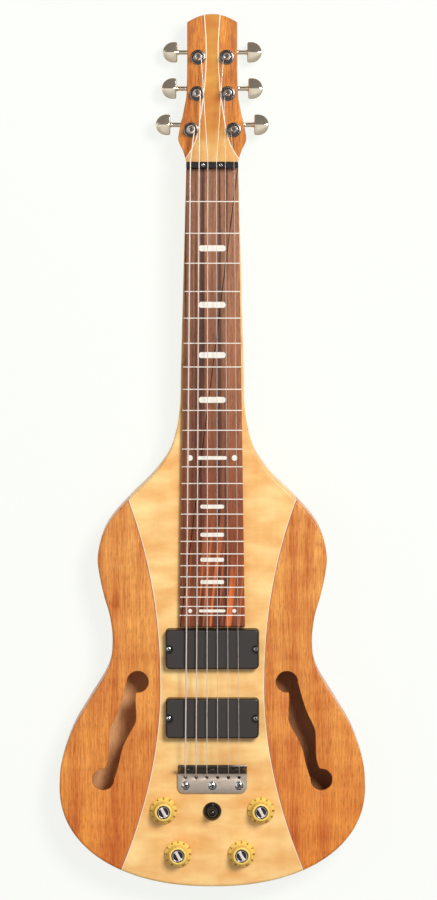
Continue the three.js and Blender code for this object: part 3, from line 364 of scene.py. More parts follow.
def revolved(profile: Sequence[Sequence[float]], sides: int = 64, capped: bool = True) -> Shell:
    """Surface of revolution about Z.

    Args:
        profile: pairs of radius and height from the bottom to the top along the outside.
        sides: points of each circle.
        capped: whether its ends are filled; a profile that closes on itself has none.

    Returns:
        The surface.
    """
    pairs = np.asarray(profile, float)
    return waved(np.repeat(pairs[:, :1], sides, axis=1), pairs[:, 1], capped)


def rod(radius: float, low: float, high: float, sides: int = 48) -> Shell:
    """Upright cylinder."""
    return revolved([[radius, low], [radius, high]], sides)


def at_height(loop: Array, height: float | Array) -> Array:
    """Points of an outline with their height as a third column."""
    return np.column_stack([loop, np.broadcast_to(height, (len(loop),))])


def prism(loop: Array, low: float, high: float) -> Shell:
    """Upright prism over a closed outline."""
    return tube(np.stack([at_height(loop, low), at_height(loop, high)]))


def soft_slab(
    loop: Array,
    low: float,
    high: float,
    top_radius: float | Array = 0.0,
    bottom_radius: float | Array = 0.0,
    steps: int = 5,
) -> Shell:
    """Slab over a closed outline, with rounded edges.

    The outline is inset along a quarter circle at either face: radius times 1 - sin inwards, and radius times
    1 - cos away from the face. A last ring just inside keeps each flat face flat.

    Args:
        loop: outline in anticlockwise order.
        low: height of the lower face.
        high: height of the upper face.
        top_radius: radius of the upper edge, or one for each point.
        bottom_radius: radius of the lower edge, or one for each point.
        steps: steps of each rounding.

    Returns:
        The slab.
    """
    turns = np.linspace(0, QUARTER, steps + 1)
    rings = []
    edges = ((bottom_radius, low, 1.0, turns), (top_radius, high, -1.0, turns[::-1]))
    for radius, face, sign, bends in edges:
        size = np.broadcast_to(np.asarray(radius, float), (len(loop),))
        if size.max() <= 0:
            rings.append(at_height(loop, face))
            continue
        arc = [(size * (1 - math.sin(a)), face + sign * size * (1 - math.cos(a))) for a in bends]
        flat = (size + FLAT_MARGIN, face)
        arc = [flat] + arc if sign > 0 else arc + [flat]
        rings.extend(at_height(inset(loop, depth), height) for depth, height in arc)
    return tube(np.stack(rings))


def swept_tube(path: Array, radius: float, sides: int = 12, across: Triple = (1.0, 0.0, 0.0)) -> Shell:
    """Round tube along a path.

    At each point a circle stands square to the path, between a side direction kept near `across` and their cross
    product.

    Args:
        path: points that it follows, one row each.
        radius: its radius.
        sides: points of each circle.
        across: direction that the circles start from.

    Returns:
        The tube, filled at both ends.
    """
    along = np.gradient(path, axis=0)
    along /= np.linalg.norm(along, axis=1)[:, None]
    side = np.asarray(across, float) - along * (along @ np.asarray(across, float))[:, None]
    side /= np.linalg.norm(side, axis=1)[:, None]
    up = np.cross(along, side)
    cosine, sine = (part[:, None] for part in on_circle(1.0, angles(sides)).T)
    return tube(path[:, None] + radius * (cosine * side[:, None] + sine * up[:, None]))


def read_mesh(mesh: bpy.types.Mesh) -> Shell:
    """Surface of a mesh in its own unit; the mesh is removed.

    Args:
        mesh: the mesh.

    Returns:
        The surface.
    """
    points = np.empty(len(mesh.vertices) * 3)
    mesh.vertices.foreach_get("co", points)
    faces = [list(face.vertices) for face in mesh.polygons]
    bpy.data.meshes.remove(mesh)
    return Shell(points.reshape(-1, 3), faces)


def evaluated(piece: Piece) -> bpy.types.Mesh:
    """New mesh of an object as its modifiers leave it."""
    graph = bpy.context.evaluated_depsgraph_get()
    return bpy.data.meshes.new_from_object(piece.evaluated_get(graph))


def text_shell(words: str, height: float, depth: float) -> Shell:
    """Letters as a thin closed solid about the origin, made from Blender's own plain font.

    Args:
        words: what is written.
        height: size of the letters.
        depth: their thickness.

    Returns:
        The letters, in millimetres.
    """
    curve = bpy.data.curves.new("words", "FONT")
    curve.body = words
    curve.size = height
    curve.extrude = depth / 2
    curve.offset = height * FONT_BOLDNESS
    curve.resolution_u = 2
    curve.align_x = "CENTER"
    curve.align_y = "CENTER"
    holder = bpy.data.objects.new("words", curve)
    bpy.context.scene.collection.objects.link(holder)
    mesh = evaluated(holder)
    bpy.data.objects.remove(holder)
    bpy.data.curves.remove(curve)
    return read_mesh(mesh)


@contextmanager
def editing(mesh: bpy.types.Mesh) -> Iterator[bmesh.types.BMesh]:
    """Opens a mesh for editing and writes the changes back."""
    work = bmesh.new()
    work.from_mesh(mesh)
    yield work
    work.to_mesh(mesh)
    work.free()


def make_object(name: str, shell: Shell, sharp_degrees: float = SHARP_DEGREES) -> Piece:
    """Object at the origin from a surface in millimetres, merged, closed, and smooth up to an angle.

    Args:
        name: name of the object.
        shell: its surface.
        sharp_degrees: edges that bend more than this stay sharp.

    Returns:
        The object.
    """
    mesh = bpy.data.meshes.new(name)
    mesh.from_pydata((shell.points * MM).tolist(), [], shell.faces)
    piece = bpy.data.objects.new(name, mesh)
    bpy.context.scene.collection.objects.link(piece)
    with editing(mesh) as work:
        bmesh.ops.remove_doubles(work, verts=work.verts, dist=MERGE_METRES)
        bmesh.ops.dissolve_degenerate(work, edges=work.edges, dist=MERGE_METRES)
    mesh.validate()
    soften(piece, sharp_degrees)
    return piece


def close_holes(piece: Piece) -> None:
    """Fills what openings a cut has left."""
    with editing(piece.data) as work:
        edges = [edge for edge in work.edges if edge.is_boundary]
        if edges:
            bmesh.ops.holes_fill(work, edges=edges, sides=0)
            LOG.info("%s: %d open edges closed", piece.name, len(edges))


def recalculate(piece: Piece) -> None:
    """Turns the faces of a closed mesh outwards."""
    with editing(piece.data) as work:
        bmesh.ops.recalc_face_normals(work, faces=work.faces)


def apply_modifiers(piece: Piece) -> None:
    """Makes a piece's modifiers part of its mesh."""
    mesh = evaluated(piece)
    piece.modifiers.clear()
    old = piece.data
    piece.data = mesh
    bpy.data.meshes.remove(old)


def bevel(piece: Piece, width: float, segments: int, degrees: float) -> None:
    """Bevels the edges that bend more than an angle.

    Args:
        piece: object at the origin.
        width: width of the bevel in millimetres.
        segments: steps across it.
        degrees: the angle.
    """
    modifier = piece.modifiers.new("edge", "BEVEL")
    modifier.width = width * MM
    modifier.segments = segments
    modifier.limit_method = "ANGLE"
    modifier.angle_limit = math.radians(degrees)
    modifier.use_clamp_overlap = True
    apply_modifiers(piece)


def soften(piece: Piece, sharp_degrees: float) -> None:
    """Smooth shading over every edge that bends less than the angle."""
    mesh = piece.data
    mesh.polygons.foreach_set("use_smooth", [True] * len(mesh.polygons))
    mesh.set_sharp_from_angle(angle=math.radians(sharp_degrees))
    mesh.update()


def boolean(piece: Piece, other: Shell, operation: str = "DIFFERENCE") -> None:
    """Cuts or trims a piece by another closed surface, with an exact Boolean that is applied at once.

    Args:
        piece: object at the origin.
        other: the other surface.
        operation: DIFFERENCE or INTERSECT.
    """
    tool = make_object("tool", other)
    modifier = piece.modifiers.new("shape", "BOOLEAN")
    modifier.operation = operation
    modifier.solver = "EXACT"
    modifier.object = tool
    apply_modifiers(piece)
    bpy.data.objects.remove(tool)


def dress(
    piece: Piece,
    material: Material,
    nodes: Sequence[str] = (),
    body: str = INSTRUMENT,
) -> Piece:
    """Gives a piece its material, its body and the nodes that it stands for.

    Args:
        piece: object at the origin.
        material: its material.
        nodes: CAD nodes that it replaces.
        body: CAD body that it moves with.

    Returns:
        The same object.
    """
    piece.data.materials.clear()
    piece.data.materials.append(material)
    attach(piece, body)
    if nodes:
        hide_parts(*nodes)
    LOG.info("%s: %d faces on %s", piece.name, len(piece.data.polygons), body)
    return piece


def face_data(piece: Piece, kind: str) -> Array:
    """Each face's middle in millimetres, or its normal, one row a face."""
    values = np.empty(len(piece.data.polygons) * 3)
    piece.data.polygons.foreach_get(kind, values)
    return values.reshape(-1, 3) / (MM if kind == "center" else 1.0)


def paint(piece: Piece, *layers: tuple[Material, Array]) -> None:
    """Gives chosen faces of a dressed piece another finish.

    Args:
        piece: the piece.
        layers: pairs of a material and a mask over the faces; a later pair wins.
    """
    index = np.zeros(len(piece.data.polygons), np.int32)
    for material, mask in layers:
        piece.data.materials.append(material)
        index[mask] = len(piece.data.materials) - 1
    piece.data.polygons.foreach_set("material_index", index)
    piece.data.update()


def shell_of(piece: Piece) -> Shell:
    """Reads an object's surface back, in millimetres, and takes the object away."""
    mesh = piece.data
    bpy.data.objects.remove(piece)
    shell = read_mesh(mesh)
    return Shell(shell.points / MM, shell.faces)


def carved(name: str, shell: Shell, *cutters: Shell) -> Piece:
    """Object of a surface without what the cutters hold.

    Args:
        name: name of the object.
        shell: the surface.
        cutters: closed surfaces.

    Returns:
        The object.
    """
    piece = make_object(name, shell)
    for cutter in cutters:
        boolean(piece, cutter)
    soften(piece, SHARP_DEGREES)
    return piece


def cut_shell(shell: Shell, *cutters: Shell) -> Shell:
    """A closed surface without what the cutters hold."""
    return shell_of(carved("blank", shell, *cutters))


# Finishes

FLOAT = "NodeSocketFloat"
COLOUR = "NodeSocketColor"
VECTOR = "NodeSocketVector"
GRAIN_NOISES = {
    "Bands": ((70.0, 3.0, 50.0), 2.0, 0.5),
    "Fibres": ((640.0, 26.0, 420.0), 4.0, 0.65),
    "Figure": ((24.0, 52.0, 26.0), 4.0, 0.5),
}
PORE_NOISE = ((1000.0, 120.0, 800.0), 2.0, 0.6)


def tone(red: float, green: float, blue: float) -> Tone:
    """Screen colour from 0 to 255 as the linear values that shaders take."""
    values = [c / 255 for c in (red, green, blue)]
    linear = [c / 12.92 if c <= 0.04045 else ((c + 0.055) / 1.055) ** 2.4 for c in values]
    return linear[0], linear[1], linear[2], 1.0


def darker(colour: Tone, share: float) -> Tone:
    """A colour times a share."""
    return colour[0] * share, colour[1] * share, colour[2] * share, 1.0


class Web:
    """Small helper that adds nodes to one tree and joins them."""

    def __init__(self, tree: Tree) -> None:
        """Starts on the tree of a material, of the world or of a group."""
        self.tree = tree
        self.nodes = tree.nodes

    def add(self, kind: str, **settings: object) -> Node:
        """Adds a node and sets its properties."""
        node = self.nodes.new(kind)
        for key, value in settings.items():
            setattr(node, key, value)
        return node

    def fill(self, node: Node, values: dict[str | int, object]) -> Node:
        """Joins a node's inputs to other sockets, or sets their own values.

        Args:
            node: the node.
            values: a socket or a value for each input, by its name or number.

        Returns:
            The same node.
        """
        for key, value in values.items():
            if isinstance(value, Socket):
                self.tree.links.new(value, node.inputs[key])
            else:
                node.inputs[key].default_value = value
        return node

    def group(self, tree: Tree, **values: object) -> Node:
        """Places a group with its own values."""
        return self.fill(self.add("ShaderNodeGroup", node_tree=tree), values)

    def math(self, operation: str, first: object, second: object, clamp: bool = False) -> Socket:
        """Adds a Math node of two inputs."""
        node = self.add("ShaderNodeMath", operation=operation, use_clamp=clamp)
        return self.fill(node, {0: first, 1: second}).outputs[0]

    def stretch(
        self, value: Socket, low: float, high: float, start: object = 0.0, end: object = 1.0
    ) -> Socket:
        """Maps low..high to start..end, held at the ends."""
        values = {"Value": value, "From Min": low, "From Max": high, "To Min": start, "To Max": end}
        return self.fill(self.add("ShaderNodeMapRange", clamp=True), values).outputs["Result"]

    def blend(self, share: Socket, first: object, second: object, kind: str = "MIX") -> Socket:
        """Adds a colour mix."""
        node = self.add("ShaderNodeMix", data_type="RGBA", blend_type=kind)
        return self.fill(node, {0: share, 6: first, 7: second}).outputs[2]

    def place(self, scale: Triple = (1.0, 1.0, 1.0), shift: Triple = (0.0, 0.0, 0.0)) -> Socket:
        """Object coordinates, scaled axis by axis and then moved."""
        source = self.add("ShaderNodeTexCoord").outputs["Object"]
        values = {"Vector": source, "Scale": scale, "Location": shift}
        return self.fill(self.add("ShaderNodeMapping"), values).outputs["Vector"]

    def axes(self) -> Sequence[Socket]:
        """X, Y and Z of the object coordinates."""
        return self.fill(self.add("ShaderNodeSeparateXYZ"), {0: self.place()}).outputs

    def noise(self, vector: Socket, detail: float = 3.0, rough: float = 0.55) -> Socket:
        """Adds a noise texture and gives its value."""
        values = {"Vector": vector, "Scale": 1.0, "Detail": detail, "Roughness": rough}
        return self.fill(self.add("ShaderNodeTexNoise"), values).outputs["Fac"]

    def scaled_noise(self, vector: Socket, scale: Triple, detail: float, rough: float = 0.55) -> Socket:
        """Adds a noise texture over a vector scaled axis by axis."""
        scaled = self.add("ShaderNodeVectorMath", operation="MULTIPLY")
        return self.noise(self.fill(scaled, {0: vector, 1: scale}).outputs[0], detail, rough)

    def bump(self, height: Socket, strength: float, distance: float) -> Socket:
        """Adds a bump and gives its normal."""
        values = {"Height": height, "Strength": strength, "Distance": distance}
        return self.fill(self.add("ShaderNodeBump"), values).outputs["Normal"]


def new_group(name: str, inputs: dict[str, str], outputs: dict[str, str]) -> tuple[Web, Node, Node]:
    """Empty shader node group with named sockets.

    Args:
        name: name of the group.
        inputs: socket type of each input, by its name.
        outputs: socket type of each output, by its name.

    Returns:
        The helper for its tree, its input node and its output node.
    """
    tree = bpy.data.node_groups.new(name, "ShaderNodeTree")
    for way, sockets in (("INPUT", inputs), ("OUTPUT", outputs)):
        for label, kind in sockets.items():
            tree.interface.new_socket(name=label, in_out=way, socket_type=kind)
    web = Web(tree)
    return web, web.add("NodeGroupInput"), web.add("NodeGroupOutput")


def build_grain() -> Tree:
    """Long grain of wood along Y.

    The colour goes from dark to light by three noises: broad bands, fine fibres stretched along the grain, and a
    cloudy figure. Short pores are a stretched noise above a threshold.

    Returns:
        The group.
    """
    web, given, out = new_group(
        "long_grain",
        {
            "Place": VECTOR, "Dark": COLOUR, "Light": COLOUR, "Pore": COLOUR,
            "Bands": FLOAT, "Fibres": FLOAT, "Figure": FLOAT, "Pores": FLOAT, "Shade": FLOAT,
        },
        {"Color": COLOUR, "Height": FLOAT},
    )
    value = given.outputs
    share = web.math("ADD", value["Shade"], 0.5)
    noises = {label: web.scaled_noise(value["Place"], *noise) for label, noise in GRAIN_NOISES.items()}
    for label, noise in noises.items():
        share = web.math("ADD", share, web.math("MULTIPLY", web.math("SUBTRACT", noise, 0.5), value[label]))
    pores = web.stretch(web.scaled_noise(value["Place"], *PORE_NOISE), 0.5, 0.72)
    depth = web.math("MULTIPLY", pores, value["Pores"], clamp=True)
    colour = web.blend(depth, web.blend(share, value["Dark"], value["Light"]), value["Pore"])
    height = web.math("SUBTRACT", web.math("MULTIPLY", noises["Fibres"], 0.3), depth)
    web.fill(out, {"Color": colour, "Height": height})
    return web.tree


def build_handling() -> Tree:
    """Light wear from handling: a roughness, and the mask of the scratches in it.

    Smudges are a broad noise, and scratches are thin noises stretched two ways, above a threshold.

    Returns:
        The group.
    """
    web, given, out = new_group(
        "handling",
        {"Place": VECTOR, "Base": FLOAT, "Smudge": FLOAT, "Scratch": FLOAT},
        {"Roughness": FLOAT, "Scratches": FLOAT},
    )
    value = given.outputs
    smudge = web.scaled_noise(value["Place"], (55.0, 55.0, 55.0), 4.0)
    one = web.stretch(web.scaled_noise(value["Place"], (2400.0, 130.0, 900.0), 1.0), 0.66, 0.72)
    two = web.stretch(web.scaled_noise(value["Place"], (160.0, 2100.0, 900.0), 1.0), 0.67, 0.73)
    marks = web.math("MULTIPLY", web.math("MAXIMUM", one, two), value["Scratch"])
    spread = web.math("MULTIPLY", web.math("SUBTRACT", smudge, 0.5), value["Smudge"])
    rough = web.math("ADD", web.math("ADD", value["Base"], spread), marks, clamp=True)
    web.fill(out, {"Roughness": rough, "Scratches": marks})
    return web.tree


def new_material(name: str) -> tuple[Material, Web, Node]:
    """Material with a Principled shader.

    Args:
        name: name of the material.

    Returns:
        The material, the helper for its tree and its shader.
    """
    material = bpy.data.materials.new(name)
    material.use_nodes = True
    web = Web(material.node_tree)
    return material, web, web.nodes["Principled BSDF"]


@dataclass(frozen=True)
class Wood:
    """Lacquered wood with its grain along the strings."""

    name: str
    dark: Tone
    light: Tone
    pore: Tone
    bands: float
    fibres: float
    figure: float
    pores: float
    roughness: float = 0.36
    coat: float = 0.2
    heart: float = 0.0
    shift: Triple = (0.0, 0.0, 0.0)

    def heartwood(self, web: Web) -> Socket:
        """Darker towards the middle of the instrument: a ramp of the distance from the axis, by `heart`."""
        away = web.math("ABSOLUTE", web.axes()[0], 0.0)
        return web.stretch(away, 0.055, 0.125, -self.heart, self.heart)

    def coloured(self, web: Web, colour: Socket) -> Socket:
        """The grain's colour as it is; other woods add to it."""
        return colour

    def build(self, grain: Tree, handling: Tree) -> Material:
        """Makes the material.

        Args:
            grain: group of the long grain.
            handling: group of the wear.

        Returns:
            The material.
        """
        material, web, shader = new_material(self.name)
        where = web.place(shift=self.shift)
        wood = web.group(
            grain, Place=where, Dark=self.dark, Light=self.light, Pore=self.pore,
            Bands=self.bands, Fibres=self.fibres, Figure=self.figure, Pores=self.pores,
        )
        if self.heart > 0:
            web.fill(wood, {"Shade": self.heartwood(web)})
        wear = web.group(handling, Place=where, Base=self.roughness, Smudge=0.12, Scratch=0.08)
        values = {
            "Base Color": self.coloured(web, wood.outputs["Color"]),
            "Roughness": wear.outputs["Roughness"],
            "Normal": web.bump(wood.outputs["Height"], 0.12, 0.0002),
            "Coat Weight": self.coat,
            "Coat Roughness": 0.12,
            "Specular IOR Level": 0.25,
        }
        web.fill(shader, values)
        return material


@dataclass(frozen=True)
class Aged(Wood):
    """Wood that grows deeper in colour towards one end: on the maple the headstock's own deeper tone, on the
    mahogany painted shade towards the tail.
    """

    deep: Tone = (0.8, 0.6, 0.4, 1.0)
    pale_y: float = 0.0
    deep_y: float = 1.0

    def coloured(self, web: Web, colour: Socket) -> Socket:
        """Multiplies by the deep tone, by a ramp along the strings from `pale_y` to `deep_y`."""
        return web.blend(web.stretch(web.axes()[1], self.pale_y, self.deep_y), colour, self.deep, "MULTIPLY")


@dataclass(frozen=True)
class Streaked(Wood):
    """Rosewood: dark streaks along the strings, deeper colour and orange streaks towards the body."""

    streak: float = 0.85
    deep: Tone = (0.2, 0.06, 0.02, 1.0)
    orange: Tone = (0.5, 0.12, 0.03, 1.0)

    def coloured(self, web: Web, colour: Socket) -> Socket:
        """Multiplies by the deep tone down the neck, then lays dark and orange streaks: stretched noises."""
        across, along = web.axes()[:2]
        colour = web.blend(web.stretch(along, 0.2, -0.08), colour, self.deep, "MULTIPLY")
        lines = web.noise(web.place((240.0, 1.6, 6.0), self.shift), 2.0, 0.5)
        colour = web.blend(web.stretch(lines, 0.48, 0.62, 0.0, self.streak), colour, self.pore)
        tilted = web.math("ADD", across, web.math("MULTIPLY", along, -0.09))
        drawn = {0: web.math("MULTIPLY", tilted, 210.0), 1: web.math("MULTIPLY", along, 5.0)}
        flames = web.noise(web.fill(web.add("ShaderNodeCombineXYZ"), drawn).outputs[0], 1.0, 0.5)
        mask = web.math("MULTIPLY", web.stretch(flames, 0.56, 0.66), web.stretch(along, -0.05, -0.13))
        return web.blend(mask, colour, self.orange)


@dataclass(frozen=True)
class Metal:
    """Plated or brushed metal."""

    name: str
    colour: Tone
    roughness: float
    smudge: float = 0.1
    scratch: float = 0.1
    brushed: float = 0.0
    grooves: float = 0.0
    metallic: float = 1.0

    def build(self, handling: Tree) -> Material:
        """Makes the material, with fine lines across where it is brushed and turns of wire where it is wound.

        Args:
            handling: group of the wear.

        Returns:
            The material.
        """
        material, web, shader = new_material(self.name)
        wear = web.group(
            handling, Place=web.place(), Base=self.roughness, Smudge=self.smudge, Scratch=self.scratch
        )
        height = wear.outputs["Scratches"]
        if self.brushed > 0:
            lines = web.noise(web.place((30.0, 2600.0, 2600.0)), 2.0)
            height = web.math("ADD", height, web.math("MULTIPLY", lines, self.brushed))
        if self.grooves > 0:
            wave = web.add("ShaderNodeTexWave", wave_type="BANDS", bands_direction="Y", wave_profile="SIN")
            web.fill(wave, {"Vector": web.place(), "Scale": self.grooves})
            height = web.math("ADD", height, wave.outputs["Fac"])
        mottle = web.noise(web.place((210.0, 210.0, 210.0)))
        values = {
            "Base Color": web.blend(mottle, darker(self.colour, 0.8), self.colour),
            "Roughness": wear.outputs["Roughness"],
            "Metallic": self.metallic,
            "Normal": web.bump(height, 0.25, 0.0001),
        }
        web.fill(shader, values)
        return material


@dataclass(frozen=True)
class Plastic:
    """Moulded plastic, lacquer or print."""

    name: str
    colour: Tone
    roughness: float
    texture: float = 0.0
    texture_scale: float = 900.0
    coat: float = 0.0
    face_height: float = 0.0
    face_colour: Optional[Tone] = None
    face_roughness: float = 0.6

    def build(self, handling: Tree) -> Material:
        """Makes the material; a face above `face_height` millimetres may have its own colour and gloss.

        Args:
            handling: group of the wear.

        Returns:
            The material.
        """
        material, web, shader = new_material(self.name)
        wear = web.group(handling, Place=web.place(), Base=self.roughness, Smudge=0.12, Scratch=0.1)
        mottle = web.noise(web.place((60.0, 60.0, 60.0)), 4.0)
        colour = web.blend(mottle, darker(self.colour, 0.86), self.colour)
        rough = wear.outputs["Roughness"]
        height = web.math("MULTIPLY", wear.outputs["Scratches"], 0.3)
        if self.face_colour is not None:
            face = web.stretch(web.axes()[2], (self.face_height - 0.12) * MM, self.face_height * MM)
            colour = web.blend(face, colour, self.face_colour)
            rough = web.stretch(face, 0.0, 1.0, rough, self.face_roughness)
        if self.texture > 0:
            leather = web.noise(web.place((self.texture_scale,) * 3))
            height = web.math("ADD", height, web.math("MULTIPLY", leather, self.texture))
        values = {
            "Base Color": colour,
            "Roughness": rough,
            "Normal": web.bump(height, 0.3, 0.0002),
            "Coat Weight": self.coat,
            "Coat Roughness": 0.05,
        }
        web.fill(shader, values)
        return material


class Palette:
    """Every finish of the instrument."""

    def __init__(self) -> None:
        """Builds the shared groups and the materials."""
        groups = build_grain(), build_handling()
        wear = groups[1]
        self.maple = Aged(
            "maple", tone(226, 156, 80), tone(255, 220, 150), tone(205, 140, 70), 0.35, 0.12, 1.8, 0.05,
            coat=0.1, shift=(0.013, 0.021, 0.0), deep=tone(214, 180, 110), pale_y=0.268, deep_y=0.31,
        ).build(*groups)
        # The mahogany's deep tone is painted shade: the body grows darker towards the tail, where the lamps light
        # it less.
        self.mahogany = Aged(
            "mahogany", tone(180, 76, 16), tone(255, 190, 100), tone(112, 44, 10), 1.1, 1.2, 0.6, 0.42,
            coat=0.1, heart=0.05, deep=tone(243, 205, 162), pale_y=-0.04, deep_y=-0.42,
        ).build(*groups)
        # Inside the chambers: unlacquered mahogany, made lighter on the bass side as painted light for the light
        # that falls through that sound hole, and darker on the treble side as painted shade over that hole's
        # floor.
        bare = {
            Side.BASS: (tone(219, 146, 90), tone(238, 186, 131), tone(154, 91, 54)),
            Side.TREBLE: (tone(184, 116, 72), tone(202, 146, 104), tone(122, 68, 40)),
        }
        self.bare = {
            side: Wood(f"mahogany_bare_{side.word}", *tones, 0.9, 0.75, 0.4, 0.4, 0.7, 0.0).build(*groups)
            for side, tones in bare.items()
        }
        self.ear = Wood(
            "mahogany_head", tone(155, 70, 13), tone(230, 147, 50), tone(85, 31, 6), 1.3, 1.7, 0.6, 0.5, coat=0.1
        ).build(*groups)
        self.rosewood = Streaked(
            "rosewood", tone(118, 70, 46), tone(196, 136, 98), tone(48, 26, 22), 1.2, 1.0, 0.15, 0.5, 0.5, 0.1,
            streak=0.8, deep=tone(206, 158, 122), orange=tone(214, 108, 48),
        ).build(*groups)
        self.rose = Wood(
            "accent_rose", tone(150, 84, 60), tone(208, 136, 104), tone(80, 30, 22), 0.5, 0.6, 0.2, 0.3
        ).build(*groups)
        self.cream = Wood(
            "accent_cream", tone(250, 220, 170), tone(255, 242, 212), tone(220, 180, 130), 0.4, 0.4, 0.2, 0.1
        ).build(*groups)
        self.inlay = Plastic("inlay", tone(247, 240, 228), 0.3, coat=0.3).build(wear)
        self.gloss = Plastic("black_gloss", tone(14, 9, 7), 0.12, coat=0.1).build(wear)
        self.satin = Plastic("black_satin", tone(34, 30, 28), 0.45, texture=0.5).build(wear)
        # The covers' sides and edges are painted near black: painted shade for the shadow in the gap round each
        # cover; the face above PICKUP_TOP keeps its own dark grey.
        self.pickup = Plastic(
            "pickup_cover", tone(12, 9, 8), 0.3, texture=0.4, texture_scale=1500.0,
            face_height=PICKUP_TOP, face_colour=tone(44, 37, 33), face_roughness=0.62,
        ).build(wear)
        self.amber = Plastic("amber", tone(255, 214, 108), 0.34, coat=0.05).build(wear)
        self.print = Plastic("knob_print", tone(168, 104, 22), 0.5).build(wear)
        self.steel = Metal("bridge_steel", tone(192, 176, 161), 0.4, brushed=0.5, metallic=0.6).build(wear)
        # Painted reflection: the bridge's upturned flange is a dark metal, standing in for the dark surroundings
        # that it reflects.
        self.mirror = Metal("flange_painted_reflection", tone(92, 87, 84), 0.06).build(wear)
        self.chrome = Metal("chrome", tone(226, 220, 212), 0.07).build(wear)
        # Painted highlight: the knob inserts' raised ridge is a pale, half-metallic silver that reads bright from
        # any side.
        self.silver = Metal("reflector_silver", tone(250, 234, 228), 0.3, metallic=0.4).build(wear)
        self.washer = Metal("smoked_chrome", tone(142, 137, 134), 0.2).build(wear)
        self.button = Metal("button_nickel", tone(255, 240, 214), 0.07, 0.05, 0.04, metallic=0.95).build(wear)
        self.pot_metal = Metal("pot_metal", tone(190, 186, 178), 0.3).build(wear)
        self.wire = Metal("string_wire", tone(238, 224, 212), 0.34, metallic=0.4).build(wear)
        self.wound = Metal("wound_wire", tone(236, 222, 210), 0.36, grooves=500.0, metallic=0.4).build(wear)


# Plan of the instrument

KNOBS = ("bass_upper", "treble_upper", "bass_lower", "treble_lower")
UPPER_SHARES = [
    (0.133, 0.006), (0.266, 0.043), (0.399, 0.127), (0.533, 0.326), (0.666, 0.614), (0.799, 0.861),
    (0.897, 0.959), (1, 1),
]
WAIST_SHARES = [(0.19, 0.11), (0.43, 0.4), (0.71, 0.84), (1, 1)]
LOWER_SHARES = [(0.17, 0.07), (0.42, 0.46), (0.58, 0.715), (0.75, 0.895), (0.87, 0.977), (1, 1)]
HEAD_SHARES = [
    (0.062, 0.79), (0.116, 0.872), (0.148, 0.945), (0.172, 0.988), (0.195, 1), (0.225, 0.978), (0.27, 0.942),
    (0.33, 0.875), (0.39, 0.82), (0.46, 0.763), (0.56, 0.742), (0.7, 0.735),
]
WEDGE_SHARES = [
    (0.02, 1.3), (0.061, 1.004), (0.171, 0.633), (0.284, 0.48), (0.425, 0.351), (0.566, 0.258),
    (0.776, 0.21), (1, 0.29), (1.05, 0.32),
]
STEM_OUTER = [
    (-0.05, -0.409), (-0.017, -0.286), (0.022, -0.165), (0.072, -0.058), (0.09, -0.01),
    (0.097, 0.05), (0.1, 0.163), (0.108, 0.25), (0.13, 0.31), (0.16, 0.33),
]
STEM_INNER = [
    (0.07, 0.44), (0.054, 0.395), (0.017, 0.275), (-0.011, 0.155), (-0.052, 0.06),
    (-0.098, -0.022), (-0.125, -0.085), (-0.127, -0.15), (-0.121, -0.269), (-0.13, -0.35),
]
EYE_SHARES = [(-0.141, -0.409), (0.147, 0.408)]


def box_mm(node: str) -> tuple[Array, Array]:
    """Low and high corner of a CAD node's box, in millimetres."""
    low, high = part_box(node)
    return np.array(low) / MM, np.array(high) / MM


def middle(node: str) -> Array:
    """Middle of a CAD node's box, in millimetres."""
    return sum(box_mm(node)) / 2


